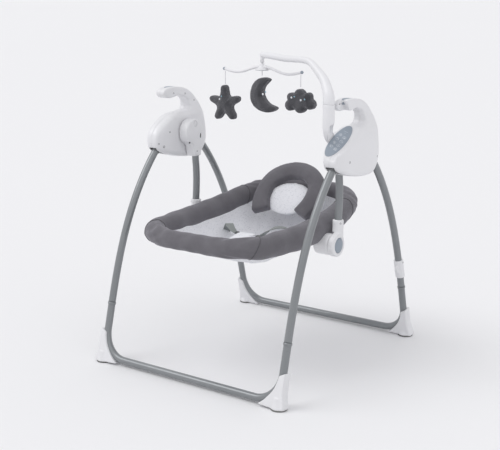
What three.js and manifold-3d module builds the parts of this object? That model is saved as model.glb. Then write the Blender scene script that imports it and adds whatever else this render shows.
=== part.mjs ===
// Folding baby swing: two hub housings on a folding steel frame, a seat hung between them
// on two arms, and a turning mobile on a post. Millimetres, +Z up, -Y to the front.
// The origin is on the floor, midway between the two hubs and the two floor bars.
import * as THREE from 'three';
import Module from 'manifold-3d';
import { mergeVertices } from 'three/addons/utils/BufferGeometryUtils.js';

// ---------- driving dimensions ----------
const gap = 0.3;               // between pieces that touch
const runningGap = 0.6;        // round what slides or turns

const hubSpacing = 636;        // middle plane of one hub to the other
const footSpread = 740;        // front foot to rear foot
const axleHeight = 660;        // swing axle over the floor
const hubDepth = 58;           // thickness of a hub, outer face to inner face
const hubWall = 3;
const hubRound = 8;            // rounding of a hub's edges

const legRadius = 11;
const legBore = 9.5;           // inside radius of the floor tube
const legWall = 1.5;
const legStart = 17;           // the tube starts this far from its hinge
const legSplay = 47;           // lean of a leg at its hinge, in degrees from upright
const legBow = 190;            // handles of the curve that give a leg its bow
const legPivotY = 82;          // leg hinge, in front of and behind the hub's middle
const legPivotDrop = 18;       // leg hinge below the swing axle
const legPinRadius = 5;
const legEyeRadius = 17;
const legEyeHalf = 12;         // half the thickness of the hinge eye
const seamHeight = 175;        // joint of an upper leg and the floor tube
const seamInset = 41;          // how far the seam stands inside the foot
const swageLength = 36;        // narrowed end of an upper leg inside the floor tube
const barHeight = 16;          // middle of a floor bar over the floor
const cornerRadius = 80;       // bend from a leg to a floor bar
const footPadRadius = 23;
const footWall = 3;
const collarRadius = 14;
const collarLength = 54;
const foldAngle = 26;          // each leg frame folds in by this much, in degrees

const axleRadius = 7;
const axleOffsetY = 3;         // the axle stands just behind the hub's middle
const bushRadius = 12;
const armInset = 54;           // a hub's middle plane to its arm's middle plane
const armDrop = 288;           // swing axle down to the recline axis
const armRadius = 11;
const reclineOffsetY = -8;
const drumRadius = 33;
const drumThickness = 20;
const reclineButtonRadius = 23;
const reclineButtonTravel = 4;
const buttonDepth = 7;         // recline button inside its drum
const coverRadius = 42;        // cover over the axle
const coverThickness = 36;
const armStraight = 238;       // swing axle down to the lower end of the arm tube

const hookButtonTravel = 3;
const hookButtonLength = 68;
const hookButtonWidth = 22;
const hookButtonY = -42;
const hookPocketDepth = 16;
const hookRise = 141;          // top of the button over the swing axle
const panelLength = 128;
const panelWidth = 42;
const panelInset = 5;          // its middle stands this far inside its hub's middle plane
const panelThickness = 4;
const facetMargin = 4;         // the flat facet is wider than the panel by this much
const inletRadius = 6;
const inletY = 112;            // rear face of the hub at the power inlet
const leverDrop = 40;          // the drive's lever under the swing axle
const coilHeight = 20;
const coilRadius = 13;

const seatHalfWidth = 206;     // middle of the padded ring at its widest
const seatTubeRadius = 8;
const bracketDepth = 50;       // the seat's half of the recline joint, inwards of the arm
const padRadius = 30;
const sidePadFullness = 7;     // the ring is fatter along its sides
const ringRise = 37;           // ring tube over the recline axis
const headRise = 65;           // head end of the ring over its foot end
const ringFootY = -334;        // foot end and head end of the ring tube
const ringHeadY = 300;
const tubeGap = 4;             // between the front and rear half of the ring tube
const slingDepth = 122;
const slingThickness = 3;
const slingInset = padRadius + 7;
const slingFullness = 3.6;     // how flat the middle of the sling hangs
const slingMiddleY = 20;       // its deepest place
const pillowRadius = 24;
const crotchPadWidth = 60;
const strapWidth = 26;

const postRadius = 16.5;
const postTop = 130;           // seam of post and mobile arm, over the swing axle
const spigotRadius = 11;
const spigotLength = 34;
const postInset = 18;          // the post stands this far inside its hub's middle plane
const postY = -108;
const mobileY = 6;
const mobileReach = 248;       // top of the mobile arm over the swing axle
const mobileEndRadius = 9.5;
const rotorDrop = 46;          // mobile arm's end down to the turning bar
const crossbarHalf = 140;
const flareRadius = 22;        // the rotor's trumpet, and its foot over the turning bar
const flareFoot = 2;
const toyThickness = 42;
const cordRadius = 1;

// ---------- colours ----------
const makeMaterial = (color, roughness, metalness = 0) =>
  new THREE.MeshStandardMaterial({ color, roughness, metalness });
const whitePlastic = makeMaterial(0xe6e6e8, 0.45);
const greyPlastic = makeMaterial(0x95a0ab, 0.5);
const darkPlastic = makeMaterial(0x4b4e52, 0.6);
const tubePaint = makeMaterial(0x8b9197, 0.42, 0.35);
const steel = makeMaterial(0xb8babd, 0.3, 0.9);
const copper = makeMaterial(0xa9673d, 0.4, 0.8);
const boardGreen = makeMaterial(0x2f6b45, 0.6);
const charcoalVelour = makeMaterial(0x68666d, 0.95);
const speckledJersey = makeMaterial(0xdfe0e8, 0.9);
const greyWebbing = makeMaterial(0x8b918f, 0.85);
const darkPlush = makeMaterial(0x4a4a4f, 0.95);

// ---------- solids ----------
const wasm = await Module();
wasm.setup();

function toSolid(geometry) {
  const bare = geometry.clone();
  bare.deleteAttribute('normal');
  bare.deleteAttribute('uv');
  const merged = mergeVertices(bare, 1e-3);
  const corners = Array.from(merged.index.array);
  const kept = [];
  for (let i = 0; i < corners.length; i += 3) {
    const [a, b, c] = corners.slice(i, i + 3);
    if (a !== b && b !== c && c !== a) kept.push(a, b, c);
  }
  return new wasm.Manifold(new wasm.Mesh({
    numProp: 3,
    vertProperties: Float32Array.from(merged.getAttribute('position').array),
    triVerts: Uint32Array.from(kept),
  }));
}

function toGeometry(solid) {
  const found = solid.getMesh();
  const geometry = new THREE.BufferGeometry();
  const places = Float32Array.from(found.vertProperties);
  geometry.setAttribute('position', new THREE.BufferAttribute(places, 3));
  geometry.setIndex(Array.from(found.triVerts));
  geometry.computeVertexNormals();
  return geometry;
}

const join = (...geometries) => toGeometry(geometries.map(toSolid).reduce((a, b) => a.add(b)));
const cut = (body, ...tools) =>
  toGeometry(tools.map(toSolid).reduce((a, b) => a.subtract(b), toSolid(body)));
const common = (a, b) => toGeometry(toSolid(a).intersect(toSolid(b)));

// ---------- shapes in space ----------
const point = (x, y, z) => new THREE.Vector3(x, y, z);
// Radius of a many-sided bore whose flats clear a round of this radius.
const boreFor = (radius, sides = 12) => (radius + gap) / Math.cos(Math.PI / sides);
const moved = (geometry, x, y, z) => geometry.clone().translate(x, y, z);

function mirrored(geometry, x = 1, y = 1) {
  const copy = (geometry.index ? geometry.toNonIndexed() : geometry.clone()).scale(x, y, 1);
  if (x * y > 0) return copy;
  const places = copy.getAttribute('position');
  for (let i = 0; i < places.count; i += 3) {
    const first = point().fromBufferAttribute(places, i);
    const last = point().fromBufferAttribute(places, i + 2);
    places.setXYZ(i, last.x, last.y, last.z);
    places.setXYZ(i + 2, first.x, first.y, first.z);
  }
  return copy;
}

function box(low, high) {
  const size = high.clone().sub(low);
  const middle = low.clone().add(high).multiplyScalar(0.5);
  return new THREE.BoxGeometry(size.x, size.y, size.z).translate(middle.x, middle.y, middle.z);
}

// A round bar along X between two distances, at (y, z).
function barAlongX(radius, fromX, toX, y, z, sides = 14) {
  const bar = new THREE.CylinderGeometry(radius, radius, toX - fromX, sides);
  return bar.rotateZ(Math.PI / 2).translate((fromX + toX) / 2, y, z);
}

function upright(radiusLow, radiusHigh, lowZ, highZ, x, y, sides = 14) {
  const bar = new THREE.CylinderGeometry(radiusHigh, radiusLow, highZ - lowZ, sides);
  return bar.rotateX(Math.PI / 2).translate(x, y, (lowZ + highZ) / 2);
}

// A flat outline drawn in (y, z), thickened along X about x = middle, edges rounded.
function slabAlongX(outline, middle, thickness, rounding = 0, curveSegments = 4, bevelSegments = 2) {
  const slab = new THREE.ExtrudeGeometry(outline, {
    depth: thickness - 2 * rounding,
    bevelEnabled: rounding > 0,
    bevelThickness: rounding,
    bevelSize: rounding,
    bevelOffset: -rounding,
    bevelSegments,
    curveSegments,
    steps: 1,
  });
  slab.translate(0, 0, rounding - thickness / 2);
  const toYZ = new THREE.Matrix4().makeBasis(point(0, 1, 0), point(0, 0, 1), point(1, 0, 0));
  return slab.applyMatrix4(toYZ).translate(middle, 0, 0);
}

// A curve through a list of points that keeps a sweep's steps exactly at those points.
class Route extends THREE.Curve {
  constructor(points) {
    super();
    this.points = points;
  }

  getPoint(t) {
    const place = Math.min(Math.max(t, 0), 1) * (this.points.length - 1);
    const index = Math.min(Math.floor(place), this.points.length - 2);
    return this.points[index].clone().lerp(this.points[index + 1], place - index);
  }

  getPointAt(t) {
    return this.getPoint(t);
  }

  getTangentAt(t) {
    const reach = 0.5 / (this.points.length - 1);
    const ahead = this.getPoint(Math.min(t + reach, 1));
    return ahead.sub(this.getPoint(Math.max(t - reach, 0))).normalize();
  }
}

function sweep(points, radius, sides = 12, bore = 0) {
  const section = new THREE.Shape().absarc(0, 0, radius, 0, 2 * Math.PI);
  if (bore > 0) section.holes.push(new THREE.Path().absarc(0, 0, bore, 0, 2 * Math.PI, true));
  return new THREE.ExtrudeGeometry(section, {
    steps: points.length - 1,
    curveSegments: Math.round(sides / 2),
    extrudePath: new Route(points),
    bevelEnabled: false,
  });
}

// A turned profile of [distance along, radius] pairs, bent along a curve.
function turnedAlong(profile, curve, sides = 12) {
  const length = curve.getLength();
  const outline = profile.map(([along, radius]) => new THREE.Vector2(radius, along));
  const turned = new THREE.LatheGeometry(outline, sides);
  const frameCount = 120;
  const frames = curve.computeFrenetFrames(frameCount);
  const places = turned.getAttribute('position');
  for (let i = 0; i < places.count; i += 1) {
    const share = Math.min(Math.max(places.getY(i) / length, 0), 1);
    const frame = Math.round(share * frameCount);
    const centre = curve.getPointAt(share);
    centre.addScaledVector(frames.normals[frame], places.getX(i));
    centre.addScaledVector(frames.binormals[frame], -places.getZ(i));
    places.setXYZ(i, centre.x, centre.y, centre.z);
  }
  return turned;
}

// ---------- where things stand ----------
const hubX = hubSpacing / 2;
const armX = hubX - armInset;
const hubInnerX = hubX - hubDepth / 2;
const hubOuterX = hubX + hubDepth / 2;
const legPivotZ = axleHeight - legPivotDrop;
const footY = footSpread / 2;
const reclineZ = axleHeight - armDrop;
const ringZ = reclineZ + ringRise;
const radians = Math.PI / 180;

// ---------- leg frames (drawn for the right rear; front and left are mirrored) ----------
function legPoints() {
  const top = point(hubX, legPivotY, legPivotZ);
  const seam = point(hubX, footY - seamInset, seamHeight);
  const foot = point(hubX, footY, barHeight);
  const topWay = point(0, Math.sin(legSplay * radians), -Math.cos(legSplay * radians));
  const seamWay = foot.clone().sub(seam).normalize();
  const leg = new THREE.CubicBezierCurve3(
    top, top.clone().addScaledVector(topWay, legBow), seam.clone().addScaledVector(seamWay, -legBow), seam,
  );
  return leg.getSpacedPoints(40);
}

const legLength = () =>
  legPoints().reduce((sum, p, i, list) => (i ? sum + p.distanceTo(list[i - 1]) : 0), 0);

// The leg's line beyond a distance from its hinge, so that a sleeve or cut can follow it.
function legStretch(from, to, count) {
  const all = new Route(legPoints());
  const length = legLength();
  const distances = Array.from({ length: count + 1 }, (_, i) => from + ((to - from) * i) / count);
  return distances.map((distance) => all.getPoint(distance / length));
}

function swageWay() {
  return point(hubX, footY, barHeight).sub(point(hubX, footY - seamInset, seamHeight)).normalize();
}

const legTubePoints = () => legStretch(legStart, legLength(), 7);

function upperLeg() {
  const seam = point(hubX, footY - seamInset, seamHeight);
  const tube = sweep(legTubePoints(), legRadius);
  const neck = sweep([
    seam.clone().addScaledVector(swageWay(), -12), seam.clone().addScaledVector(swageWay(), swageLength),
  ], legBore - gap);
  const inside = [
    ...legStretch(legStart - 4, legLength() - 4, 7),
    seam.clone().addScaledVector(swageWay(), swageLength + 4),
  ];
  const bore = sweep(inside, legBore - gap - legWall, 6);
  return cut(join(tube, neck), bore);
}

// Centre line of the floor tube: down from the seam, round the corner and along the bar.
function cornerPoints(count = 4) {
  const corner = point(hubX, footY, barHeight);
  const start = corner.clone().addScaledVector(swageWay(), -cornerRadius);
  const end = corner.clone().add(point(-cornerRadius, 0, 0));
  const pull = 0.552;                    // handle length of a quarter circle
  return new THREE.CubicBezierCurve3(
    start, start.clone().addScaledVector(swageWay(), cornerRadius * pull),
    end.clone().add(point(cornerRadius * pull, 0, 0)), end,
  ).getPoints(count);
}

function floorTube() {
  const seam = point(hubX, footY - seamInset, seamHeight).addScaledVector(swageWay(), gap);
  const right = [seam, ...cornerPoints()];
  const left = right.map((p) => point(-p.x, p.y, p.z)).reverse();
  return sweep([...right, ...left], legRadius, 12, legBore);
}

// The white boot round the corner of the tube, with a round pad that stands on the floor.
function footShell() {
  const outline = new THREE.Shape();
  const reach = legRadius + footWall;
  outline.moveTo(-reach, 84);
  outline.lineTo(-reach, 34);
  outline.quadraticCurveTo(-reach, 8, -20, -9);
  outline.lineTo(22, -reach);
  outline.lineTo(60, -reach + 1.5);
  outline.quadraticCurveTo(44, 2, 30, 17);
  outline.quadraticCurveTo(8, 42, 1, 84);
  outline.closePath();
  const thickness = 2 * (legRadius + footWall) + 2;
  const boot = new THREE.ExtrudeGeometry(outline, {
    depth: thickness - 6, bevelThickness: 3, bevelSize: 3, bevelOffset: -3, bevelSegments: 1,
    curveSegments: 3,
  }).translate(0, 0, 3 - thickness / 2);
  const up = swageWay().negate();
  const inward = point(-1, 0, 0);
  const across = inward.clone().cross(up);
  boot.applyMatrix4(new THREE.Matrix4().makeBasis(inward, up, across).setPosition(hubX, footY, barHeight));
  const pad = new THREE.LatheGeometry([
    new THREE.Vector2(0, 0), new THREE.Vector2(footPadRadius, 0), new THREE.Vector2(footPadRadius, 5),
    new THREE.Vector2(footPadRadius - 7, 15), new THREE.Vector2(legRadius + footWall, 30),
    new THREE.Vector2(0, 30),
  ], 16).rotateX(Math.PI / 2).translate(hubX, footY, 0);
  const tubeRoom = sweep([
    ...[-30, -5].map((d) => cornerPoints()[0].addScaledVector(swageWay(), d)),
    ...cornerPoints(), cornerPoints().at(-1).add(point(-20, 0, 0)),
  ], boreFor(legRadius));
  const below = box(point(hubX - 120, footY - 80, -60), point(hubX + 80, footY + 80, 0));
  return cut(join(boot, pad), tubeRoom, below);
}

function legHinge() {
  const eye = barAlongX(legEyeRadius, hubX - legEyeHalf, hubX + legEyeHalf, legPivotY, legPivotZ);
  const sleeve = sweep(legStretch(13, collarLength, 2), collarRadius);
  const pinRoom = barAlongX(boreFor(legPinRadius, 10), hubX - 20, hubX + 20, legPivotY, legPivotZ, 10);
  const [roomEnd] = legStretch(legStart - 3, legStart, 1);
  const tubeRoom = sweep([roomEnd, ...legTubePoints()], boreFor(legRadius));
  return cut(join(eye, sleeve), pinRoom, tubeRoom);
}

// A storage clip that holds the folded front leg against the rear one.
function legClip() {
  const height = 60;
  const from = legLength() - 96;
  const sleeve = sweep(legStretch(from, from + height, 3), legRadius + 3.5, 14);
  const place = legStretch(from, from + height, 3);
  const middle = place[1].clone().add(place[2]).multiplyScalar(0.5);
  const lug = box(
    middle.clone().add(point(-5, -legRadius - 12, -14)), middle.clone().add(point(5, -legRadius, 14)),
  );
  const room = sweep(legTubePoints(), boreFor(legRadius));
  return cut(join(sleeve, lug), room);
}

// ---------- hubs (drawn for the right side) ----------
// The side outline of a hub with the hook over it, in (y, z) about the axle.
function hubOutline() {
  const outline = new THREE.Shape();
  outline.moveTo(-6, 62);
  outline.quadraticCurveTo(28, 62, 34, 78);        // root of the neck
  outline.bezierCurveTo(34, 100, 14, 115, -18, 116);  // inside of the hook
  outline.bezierCurveTo(-38, 112, -56, 107, -72, 111);
  outline.bezierCurveTo(-92, 116, -92, 130, -80, 136);  // tip
  outline.bezierCurveTo(-58, 146, -20, 142, 7, 137);
  outline.bezierCurveTo(66, 122, 112, 66, 122, -2);   // back
  outline.bezierCurveTo(128, -40, 118, -58, 80, -78);
  outline.bezierCurveTo(40, -88, -40, -78, -90, -60);  // underside
  outline.bezierCurveTo(-128, -50, -136, -42, -132, -5);
  outline.bezierCurveTo(-128, 22, -60, 62, -6, 62);    // slope in front of the hook
  return outline;
}

// The space inside a hub, without the hook.
function hubRoomOutline() {
  const room = new THREE.Shape();
  room.moveTo(-14, 54);
  room.lineTo(52, 62);
  room.lineTo(92, 64);
  room.quadraticCurveTo(112, 30, 116, -10);
  room.quadraticCurveTo(122, -44, 84, -70);
  room.quadraticCurveTo(0, -86, -88, -53);
  room.quadraticCurveTo(-128, -44, -124, -8);
  room.quadraticCurveTo(-108, 26, -14, 54);
  return room;
}

const hubBody = () =>
  slabAlongX(hubOutline(), hubX, hubDepth, hubRound).translate(0, 0, axleHeight);

function hubRoom() {
  return slabAlongX(hubRoomOutline(), hubX, hubDepth - 2 * hubWall, 6, 3, 1).translate(0, 0, axleHeight);
}

// Room in the hub's floor for a leg and its collar between the open and the folded position.
function legSlot(sideY) {
  const width = 2 * (collarRadius + runningGap);
  const reach = 100;
  const half = collarRadius + 1.5;
  const open = 50 * radians;
  const shut = (40 - foldAngle) * radians;
  const outward = (angle, along, across) => new THREE.Vector2(
    legPivotY + along * Math.sin(angle) + across * Math.cos(angle),
    -along * Math.cos(angle) + across * Math.sin(angle),
  );
  const outline = new THREE.Shape([
    outward(open, 0, half), outward(shut, 0, -half), outward(shut, reach, -half),
    outward(shut, reach + 10, half), outward(open, reach, half),
  ]);
  return mirrored(slabAlongX(outline, hubX, width).translate(0, 0, legPivotZ), 1, sideY);
}

function hookOval(length, width, lowZ, highZ) {
  const oval = new THREE.Shape().absellipse(0, 0, width / 2, length / 2, 0, 2 * Math.PI);
  const shape = { depth: highZ - lowZ, bevelEnabled: false, curveSegments: 8 };
  const plug = new THREE.ExtrudeGeometry(oval, shape);
  return plug.translate(hubX, hookButtonY, lowZ);
}

const hookTop = axleHeight + hookRise;

function hookButton() {
  const plug = hookOval(
    hookButtonLength, hookButtonWidth, hookTop - hookPocketDepth + hookButtonTravel + gap, hookTop + 10,
  );
  return common(plug, hubBody());
}

function hookPocket() {
  return hookOval(
    hookButtonLength + 2 * runningGap, hookButtonWidth + 2 * runningGap,
    hookTop - hookPocketDepth, hookTop + 20,
  );
}

// The control panel lies on a slanted facet of the right hub's front shoulder.
function panelPlace() {
  const middle = point(hubX - panelInset, -74, axleHeight + 26);
  const along = point(0.11, 0.82, 0.56).normalize();
  const out = point(0.36, -0.56, 0.744);
  out.addScaledVector(along, -out.dot(along)).normalize();
  const across = along.clone().cross(out);
  return new THREE.Matrix4().makeBasis(across, along, out).setPosition(middle);
}

function panelSlab(grow, from, to) {
  const [halfWidth, halfLength] = [panelWidth / 2 + grow, panelLength / 2 + grow];
  const oval = new THREE.Shape().absellipse(0, 0, halfWidth, halfLength, 0, 2 * Math.PI);
  const shape = { depth: to - from, bevelEnabled: false, curveSegments: 12 };
  const slab = new THREE.ExtrudeGeometry(oval, shape);
  return slab.translate(0, 0, from).applyMatrix4(panelPlace());
}

// A round boss from a hub's wall to the leg hinge.
function pinBoss(y, fromX, toX) {
  return barAlongX(9, fromX, toX, y, legPivotZ, 10);
}

const inletX = hubX + 8;
const inletZ = axleHeight - 10;

function hubHalf(outer, powered) {
  const seam = gap / 2;
  const far = 400;
  const half = outer
    ? box(point(hubX + seam, -far, 0), point(hubX + far, far, 1200))
    : box(point(0, -far, 0), point(hubX - seam, far, 1200));
  const facet = panelSlab(facetMargin, 0, 60);
  const wallUnderFacet = panelSlab(150, -hubWall, 100);
  const room = powered ? cut(hubRoom(), wallUnderFacet) : hubRoom();
  const cuts = [room, legSlot(1), legSlot(-1), hookPocket()];
  if (powered) {
    cuts.push(facet);
    const inletHole = upright(boreFor(inletRadius, 14), boreFor(inletRadius, 14), 0, 40, 0, 0);
    cuts.push(inletHole.rotateX(-Math.PI / 2).translate(inletX, inletY - 8, inletZ));
  }
  let shell = common(cut(hubBody(), ...cuts), half);
  const wallInside = hubDepth / 2 - hubWall + 1;
  const hingeSide = legEyeHalf + gap;
  for (const y of [legPivotY, -legPivotY]) {
    if (outer) {
      shell = join(
        shell, pinBoss(y, hubX + hingeSide, hubX + wallInside),
        barAlongX(legPinRadius, hubX - hingeSide, hubX + hingeSide + 2, y, legPivotZ, 10),
      );
    } else {
      shell = join(shell, pinBoss(y, hubX - wallInside, hubX - hingeSide - gap));
    }
  }
  if (outer) {
    const boss = barAlongX(axleRadius + 5, hubX + 14, hubX + wallInside, axleOffsetY, axleHeight, 12);
    const bore = barAlongX(boreFor(axleRadius), hubX, hubX + wallInside - 2, axleOffsetY, axleHeight, 12);
    return cut(join(shell, boss), bore);
  }
  return cut(shell, barAlongX(boreFor(bushRadius, 14), hubX - 60, hubX, axleOffsetY, axleHeight));
}

function pivotBush() {
  const sleeve = barAlongX(bushRadius, hubInnerX + gap, hubInnerX + 12, axleOffsetY, axleHeight);
  const flange = barAlongX(
    bushRadius + 4, hubInnerX + hubWall + gap, hubInnerX + hubWall + 3, axleOffsetY, axleHeight,
  );
  const bore = barAlongX(boreFor(axleRadius), 0, hubOuterX, axleOffsetY, axleHeight, 12);
  return cut(join(sleeve, flange), bore);
}

// Drive: a coil in the hub's floor pulls on a magnet at the end of a lever on the axle.
const coilTop = axleHeight - leverDrop - 10;

function driveLever() {
  const eye = barAlongX(13, hubX - 12, hubX + 4, axleOffsetY, axleHeight);
  const blade = box(
    point(hubX - 10, axleOffsetY - 7, axleHeight - leverDrop), point(hubX + 2, axleOffsetY + 7, axleHeight),
  );
  return cut(join(eye, blade), barAlongX(boreFor(axleRadius), 0, hubOuterX, axleOffsetY, axleHeight, 12));
}

function driveCoil() {
  const coil = upright(coilRadius, coilRadius, coilTop - coilHeight, coilTop, hubX - 4, axleOffsetY);
  return cut(coil, upright(4, 4, coilTop - 14, coilTop + 5, hubX - 4, axleOffsetY, 12));
}

function circuitBoard() {
  return box(point(hubX + 14, 26, axleHeight + 16), point(hubX + 16, 84, axleHeight + 56));
}

function speaker() {
  const cone = barAlongX(16, hubX + 12, hubX + 20, 44, axleHeight - 50, 18);
  return join(cone, barAlongX(9, hubX + 6, hubX + 13, 44, axleHeight - 50, 14));
}

function powerInlet() {
  const barrel = upright(inletRadius, inletRadius, 0, 18, 0, 0);
  const hole = upright(2.6, 2.6, 4, 30, 0, 0, 10);
  return cut(barrel, hole).rotateX(-Math.PI / 2).translate(inletX, inletY - 9, inletZ);
}

// ---------- arms ----------
const coverFrom = hubInnerX - 3 - coverThickness;
const armTopY = axleOffsetY + 13;

function armPoints() {
  const top = point(armX, armTopY, axleHeight - 84);
  const low = point(armX, armTopY, axleHeight - 215);
  const bulge = point(armX, armTopY + 8, axleHeight - 140);
  return new THREE.QuadraticBezierCurve3(top, bulge, low).getPoints(6);
}

// Domed cover over the axle, drawn out to a socket for the arm tube.
function armCover() {
  const outline = new THREE.Shape();
  const neckZ = -76;
  outline.absarc(axleOffsetY, 0, coverRadius, -28 * radians, 212 * radians);
  outline.quadraticCurveTo(-14, -44, -1, neckZ);
  outline.lineTo(32, neckZ);
  outline.quadraticCurveTo(34, -40, axleOffsetY + 37, -20);
  const dome = slabAlongX(outline, coverFrom + coverThickness / 2, coverThickness, 9, 5);
  const socket = sweep([
    point(armX, armTopY, axleHeight - 80), point(armX, armTopY, axleHeight - 40),
  ], boreFor(armRadius));
  const bore = barAlongX(boreFor(axleRadius), coverFrom + 8, hubInnerX, axleOffsetY, axleHeight, 12);
  return cut(dome.translate(0, 0, axleHeight), socket, bore);
}

const axleRod = () =>
  barAlongX(axleRadius, coverFrom + 9, hubX + hubDepth / 2 - hubWall - 3, axleOffsetY, axleHeight, 12);

const armTube = () => {
  const points = armPoints();
  points.unshift(point(armX, armTopY, axleHeight - 42));
  points.push(point(armX, armTopY, axleHeight - armStraight));
  return sweep(points, armRadius);
};

// The drum at the foot of the arm, with the tube's socket over it and the button's pocket.
const drumX = armX + 8;

function armKnuckle() {
  const drum = barAlongX(
    drumRadius, drumX - drumThickness / 2, drumX + drumThickness / 2, reclineOffsetY, reclineZ, 20,
  );
  const socket = sweep([
    point(armX, armTopY, axleHeight - 218), point(armX, armTopY - 1, axleHeight - armStraight - 2),
    point(armX + 4, reclineOffsetY + 14, reclineZ + 18),
  ], armRadius + 4.5, 12);
  const tubeRoom = sweep([
    point(armX, armTopY, axleHeight - 200), point(armX, armTopY, axleHeight - armStraight - gap),
  ], boreFor(armRadius));
  const face = drumX + drumThickness / 2;
  const pocket = barAlongX(
    boreFor(reclineButtonRadius, 18) + gap, face - buttonDepth - reclineButtonTravel, face + 10,
    reclineOffsetY, reclineZ, 18,
  );
  const inner = drumX - drumThickness / 2;
  const beyond = box(point(0, -100, reclineZ - 60), point(inner, 100, reclineZ + drumRadius + 6));
  return cut(join(drum, socket), tubeRoom, pocket, beyond);
}

function reclineButton() {
  const face = drumX + drumThickness / 2;
  const disc = barAlongX(reclineButtonRadius, face - buttonDepth, face + 1, reclineOffsetY, reclineZ, 18);
  const dome = barAlongX(reclineButtonRadius - 4, face, face + 2.5, reclineOffsetY, reclineZ, 18);
  return join(disc, dome);
}

// ---------- seat ----------
// Height of the ring tube, which rises towards the head end.
function ringHeight(y) {
  const start = -100;
  return ringZ - 4 + headRise * Math.max(0, (y - start) / (ringHeadY + padRadius - start)) ** 1.6;
}

// The ring's right half as points from the foot end to the head end.
function ringHalf(padInset = 0) {
  const w = seatHalfWidth - padInset;
  const foot = ringFootY + padInset;
  const head = ringHeadY - padInset;
  const flat = [
    [0, foot], [w * 0.45, foot + 3], [w * 0.75, foot + 30], [w * 0.92, foot + 68], [w * 0.97, foot + 150],
    [w, -120], [w, reclineOffsetY], [w * 0.97, 90], [w * 0.9, 185], [w * 0.76, head - 48],
    [w * 0.45, head - 10], [0, head],
  ];
  return flat.map(([x, y]) => point(x, y, ringHeight(y)));
}

function ringCurve(from, to) {
  const points = ringHalf();
  const whole = [...points.slice(1).reverse().map((p) => point(-p.x, p.y, p.z)), ...points.slice(0, -1)];
  const closed = new THREE.CatmullRomCurve3(whole, true, 'centripetal');
  const count = 200;
  const dense = closed.getSpacedPoints(count).slice(0, count);
  return dense.filter((p) => p.y >= from && p.y <= to);
}

// Points of one end of the ring, in order from the left side to the right side.
function ringEnd(front, stopY, count) {
  const kept = front ? ringCurve(-1e3, stopY) : ringCurve(stopY, 1e3);
  const angle = (p) => Math.atan2(p.x, Math.abs(p.y));
  kept.sort((a, b) => angle(a) - angle(b));
  const line = new Route(kept);
  return Array.from({ length: count + 1 }, (_, i) => line.getPoint(i / count));
}

const seatTubeFront = () => sweep(ringEnd(true, reclineOffsetY - tubeGap / 2, 34), seatTubeRadius, 8);
const seatTubeRear = () => sweep(ringEnd(false, reclineOffsetY + tubeGap / 2, 28), seatTubeRadius, 8);

// Seat side of the recline joint: a drum, and an arm that clamps the ring tube.
const bracketFace = drumX - drumThickness / 2 - gap;

function seatBracket(room = 0) {
  const drum = barAlongX(
    drumRadius - 1 + room, bracketFace - bracketDepth, bracketFace, reclineOffsetY, reclineZ, 18,
  );
  const clampX = seatHalfWidth;
  const neck = box(
    point(clampX - 10 - room, reclineOffsetY - 15 - room, reclineZ),
    point(bracketFace - 6, reclineOffsetY + 15 + room, ringZ),
  );
  const clamp = sweep([
    point(clampX, reclineOffsetY - 26 - room, ringHeight(reclineOffsetY)),
    point(clampX, reclineOffsetY + 26 + room, ringHeight(reclineOffsetY)),
  ], seatTubeRadius + 5 + room, 10);
  return join(drum, neck, clamp);
}

function seatBracketCut() {
  const line = ringCurve(-60, 50).filter((p) => p.x > 0).sort((a, b) => a.y - b.y);
  return cut(seatBracket(), sweep(line.filter((_, i) => i % 3 === 0), boreFor(seatTubeRadius, 8) + 0.4, 8));
}

// The padded ring: a fat sleeve round the whole ring tube, open where the brackets come through.
function ringPad() {
  const ends = [true, false].map((front) => {
    const points = ringEnd(front, reclineOffsetY + (front ? 12 : -12), 18);
    const curve = new THREE.CatmullRomCurve3(points);
    const length = curve.getLength();
    const steps = 18;
    const profile = [[0, 0]];
    for (let i = 0; i <= steps; i += 1) {
      const share = i / steps;
      const fuller = sidePadFullness * Math.sin(2 * Math.PI * share) ** 2;
      profile.push([share * length, padRadius + fuller]);
    }
    profile.push([length, 0]);
    return turnedAlong(profile, curve, 10);
  });
  const room = [
    sweep(ringEnd(true, reclineOffsetY + 3, 34), seatTubeRadius + 2, 6),
    sweep(ringEnd(false, reclineOffsetY - 3, 28), seatTubeRadius + 2, 6),
  ];
  const bracketRoom = seatBracket(1.5);
  const drumRoom = barAlongX(
    drumRadius + 3, bracketFace - bracketDepth - 3, hubX, reclineOffsetY, reclineZ, 18,
  );
  const bothSides = [bracketRoom, mirrored(bracketRoom, -1), drumRoom, mirrored(drumRoom, -1)];
  return cut(join(...ends), ...room, ...bothSides);
}

// The fabric sling: a shallow bowl hung inside the ring, its rim against the padded ring.
const slingRadii = 6;

function sling() {
  const profile = [];
  for (let i = 0; i <= slingRadii; i += 1) profile.push(new THREE.Vector2(i / slingRadii, 1));
  for (let i = slingRadii; i >= 0; i -= 1) profile.push(new THREE.Vector2(i / slingRadii, 0));
  const bowl = new THREE.LatheGeometry(profile, 24);
  const rim = ringHalf(slingInset);
  const places = bowl.getAttribute('position');
  const outline = new Route(rim);
  for (let i = 0; i < places.count; i += 1) {
    const [x, layer, y] = [places.getX(i), places.getY(i), places.getZ(i)];
    const share = Math.min(Math.hypot(x, y), 1);
    const turn = share > 0 ? Math.abs(Math.atan2(x, -y)) / Math.PI : 0;
    const edge = outline.getPoint(turn);
    const placeY = slingMiddleY + (edge.y - slingMiddleY) * share;
    const fall = slingDepth * (1 - share ** slingFullness);
    const z = ringHeight(placeY) - fall - (layer > 0.5 ? 0 : slingThickness);
    places.setXYZ(i, Math.sign(x) * edge.x * share, placeY, z);
  }
  return bowl;
}

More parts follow.
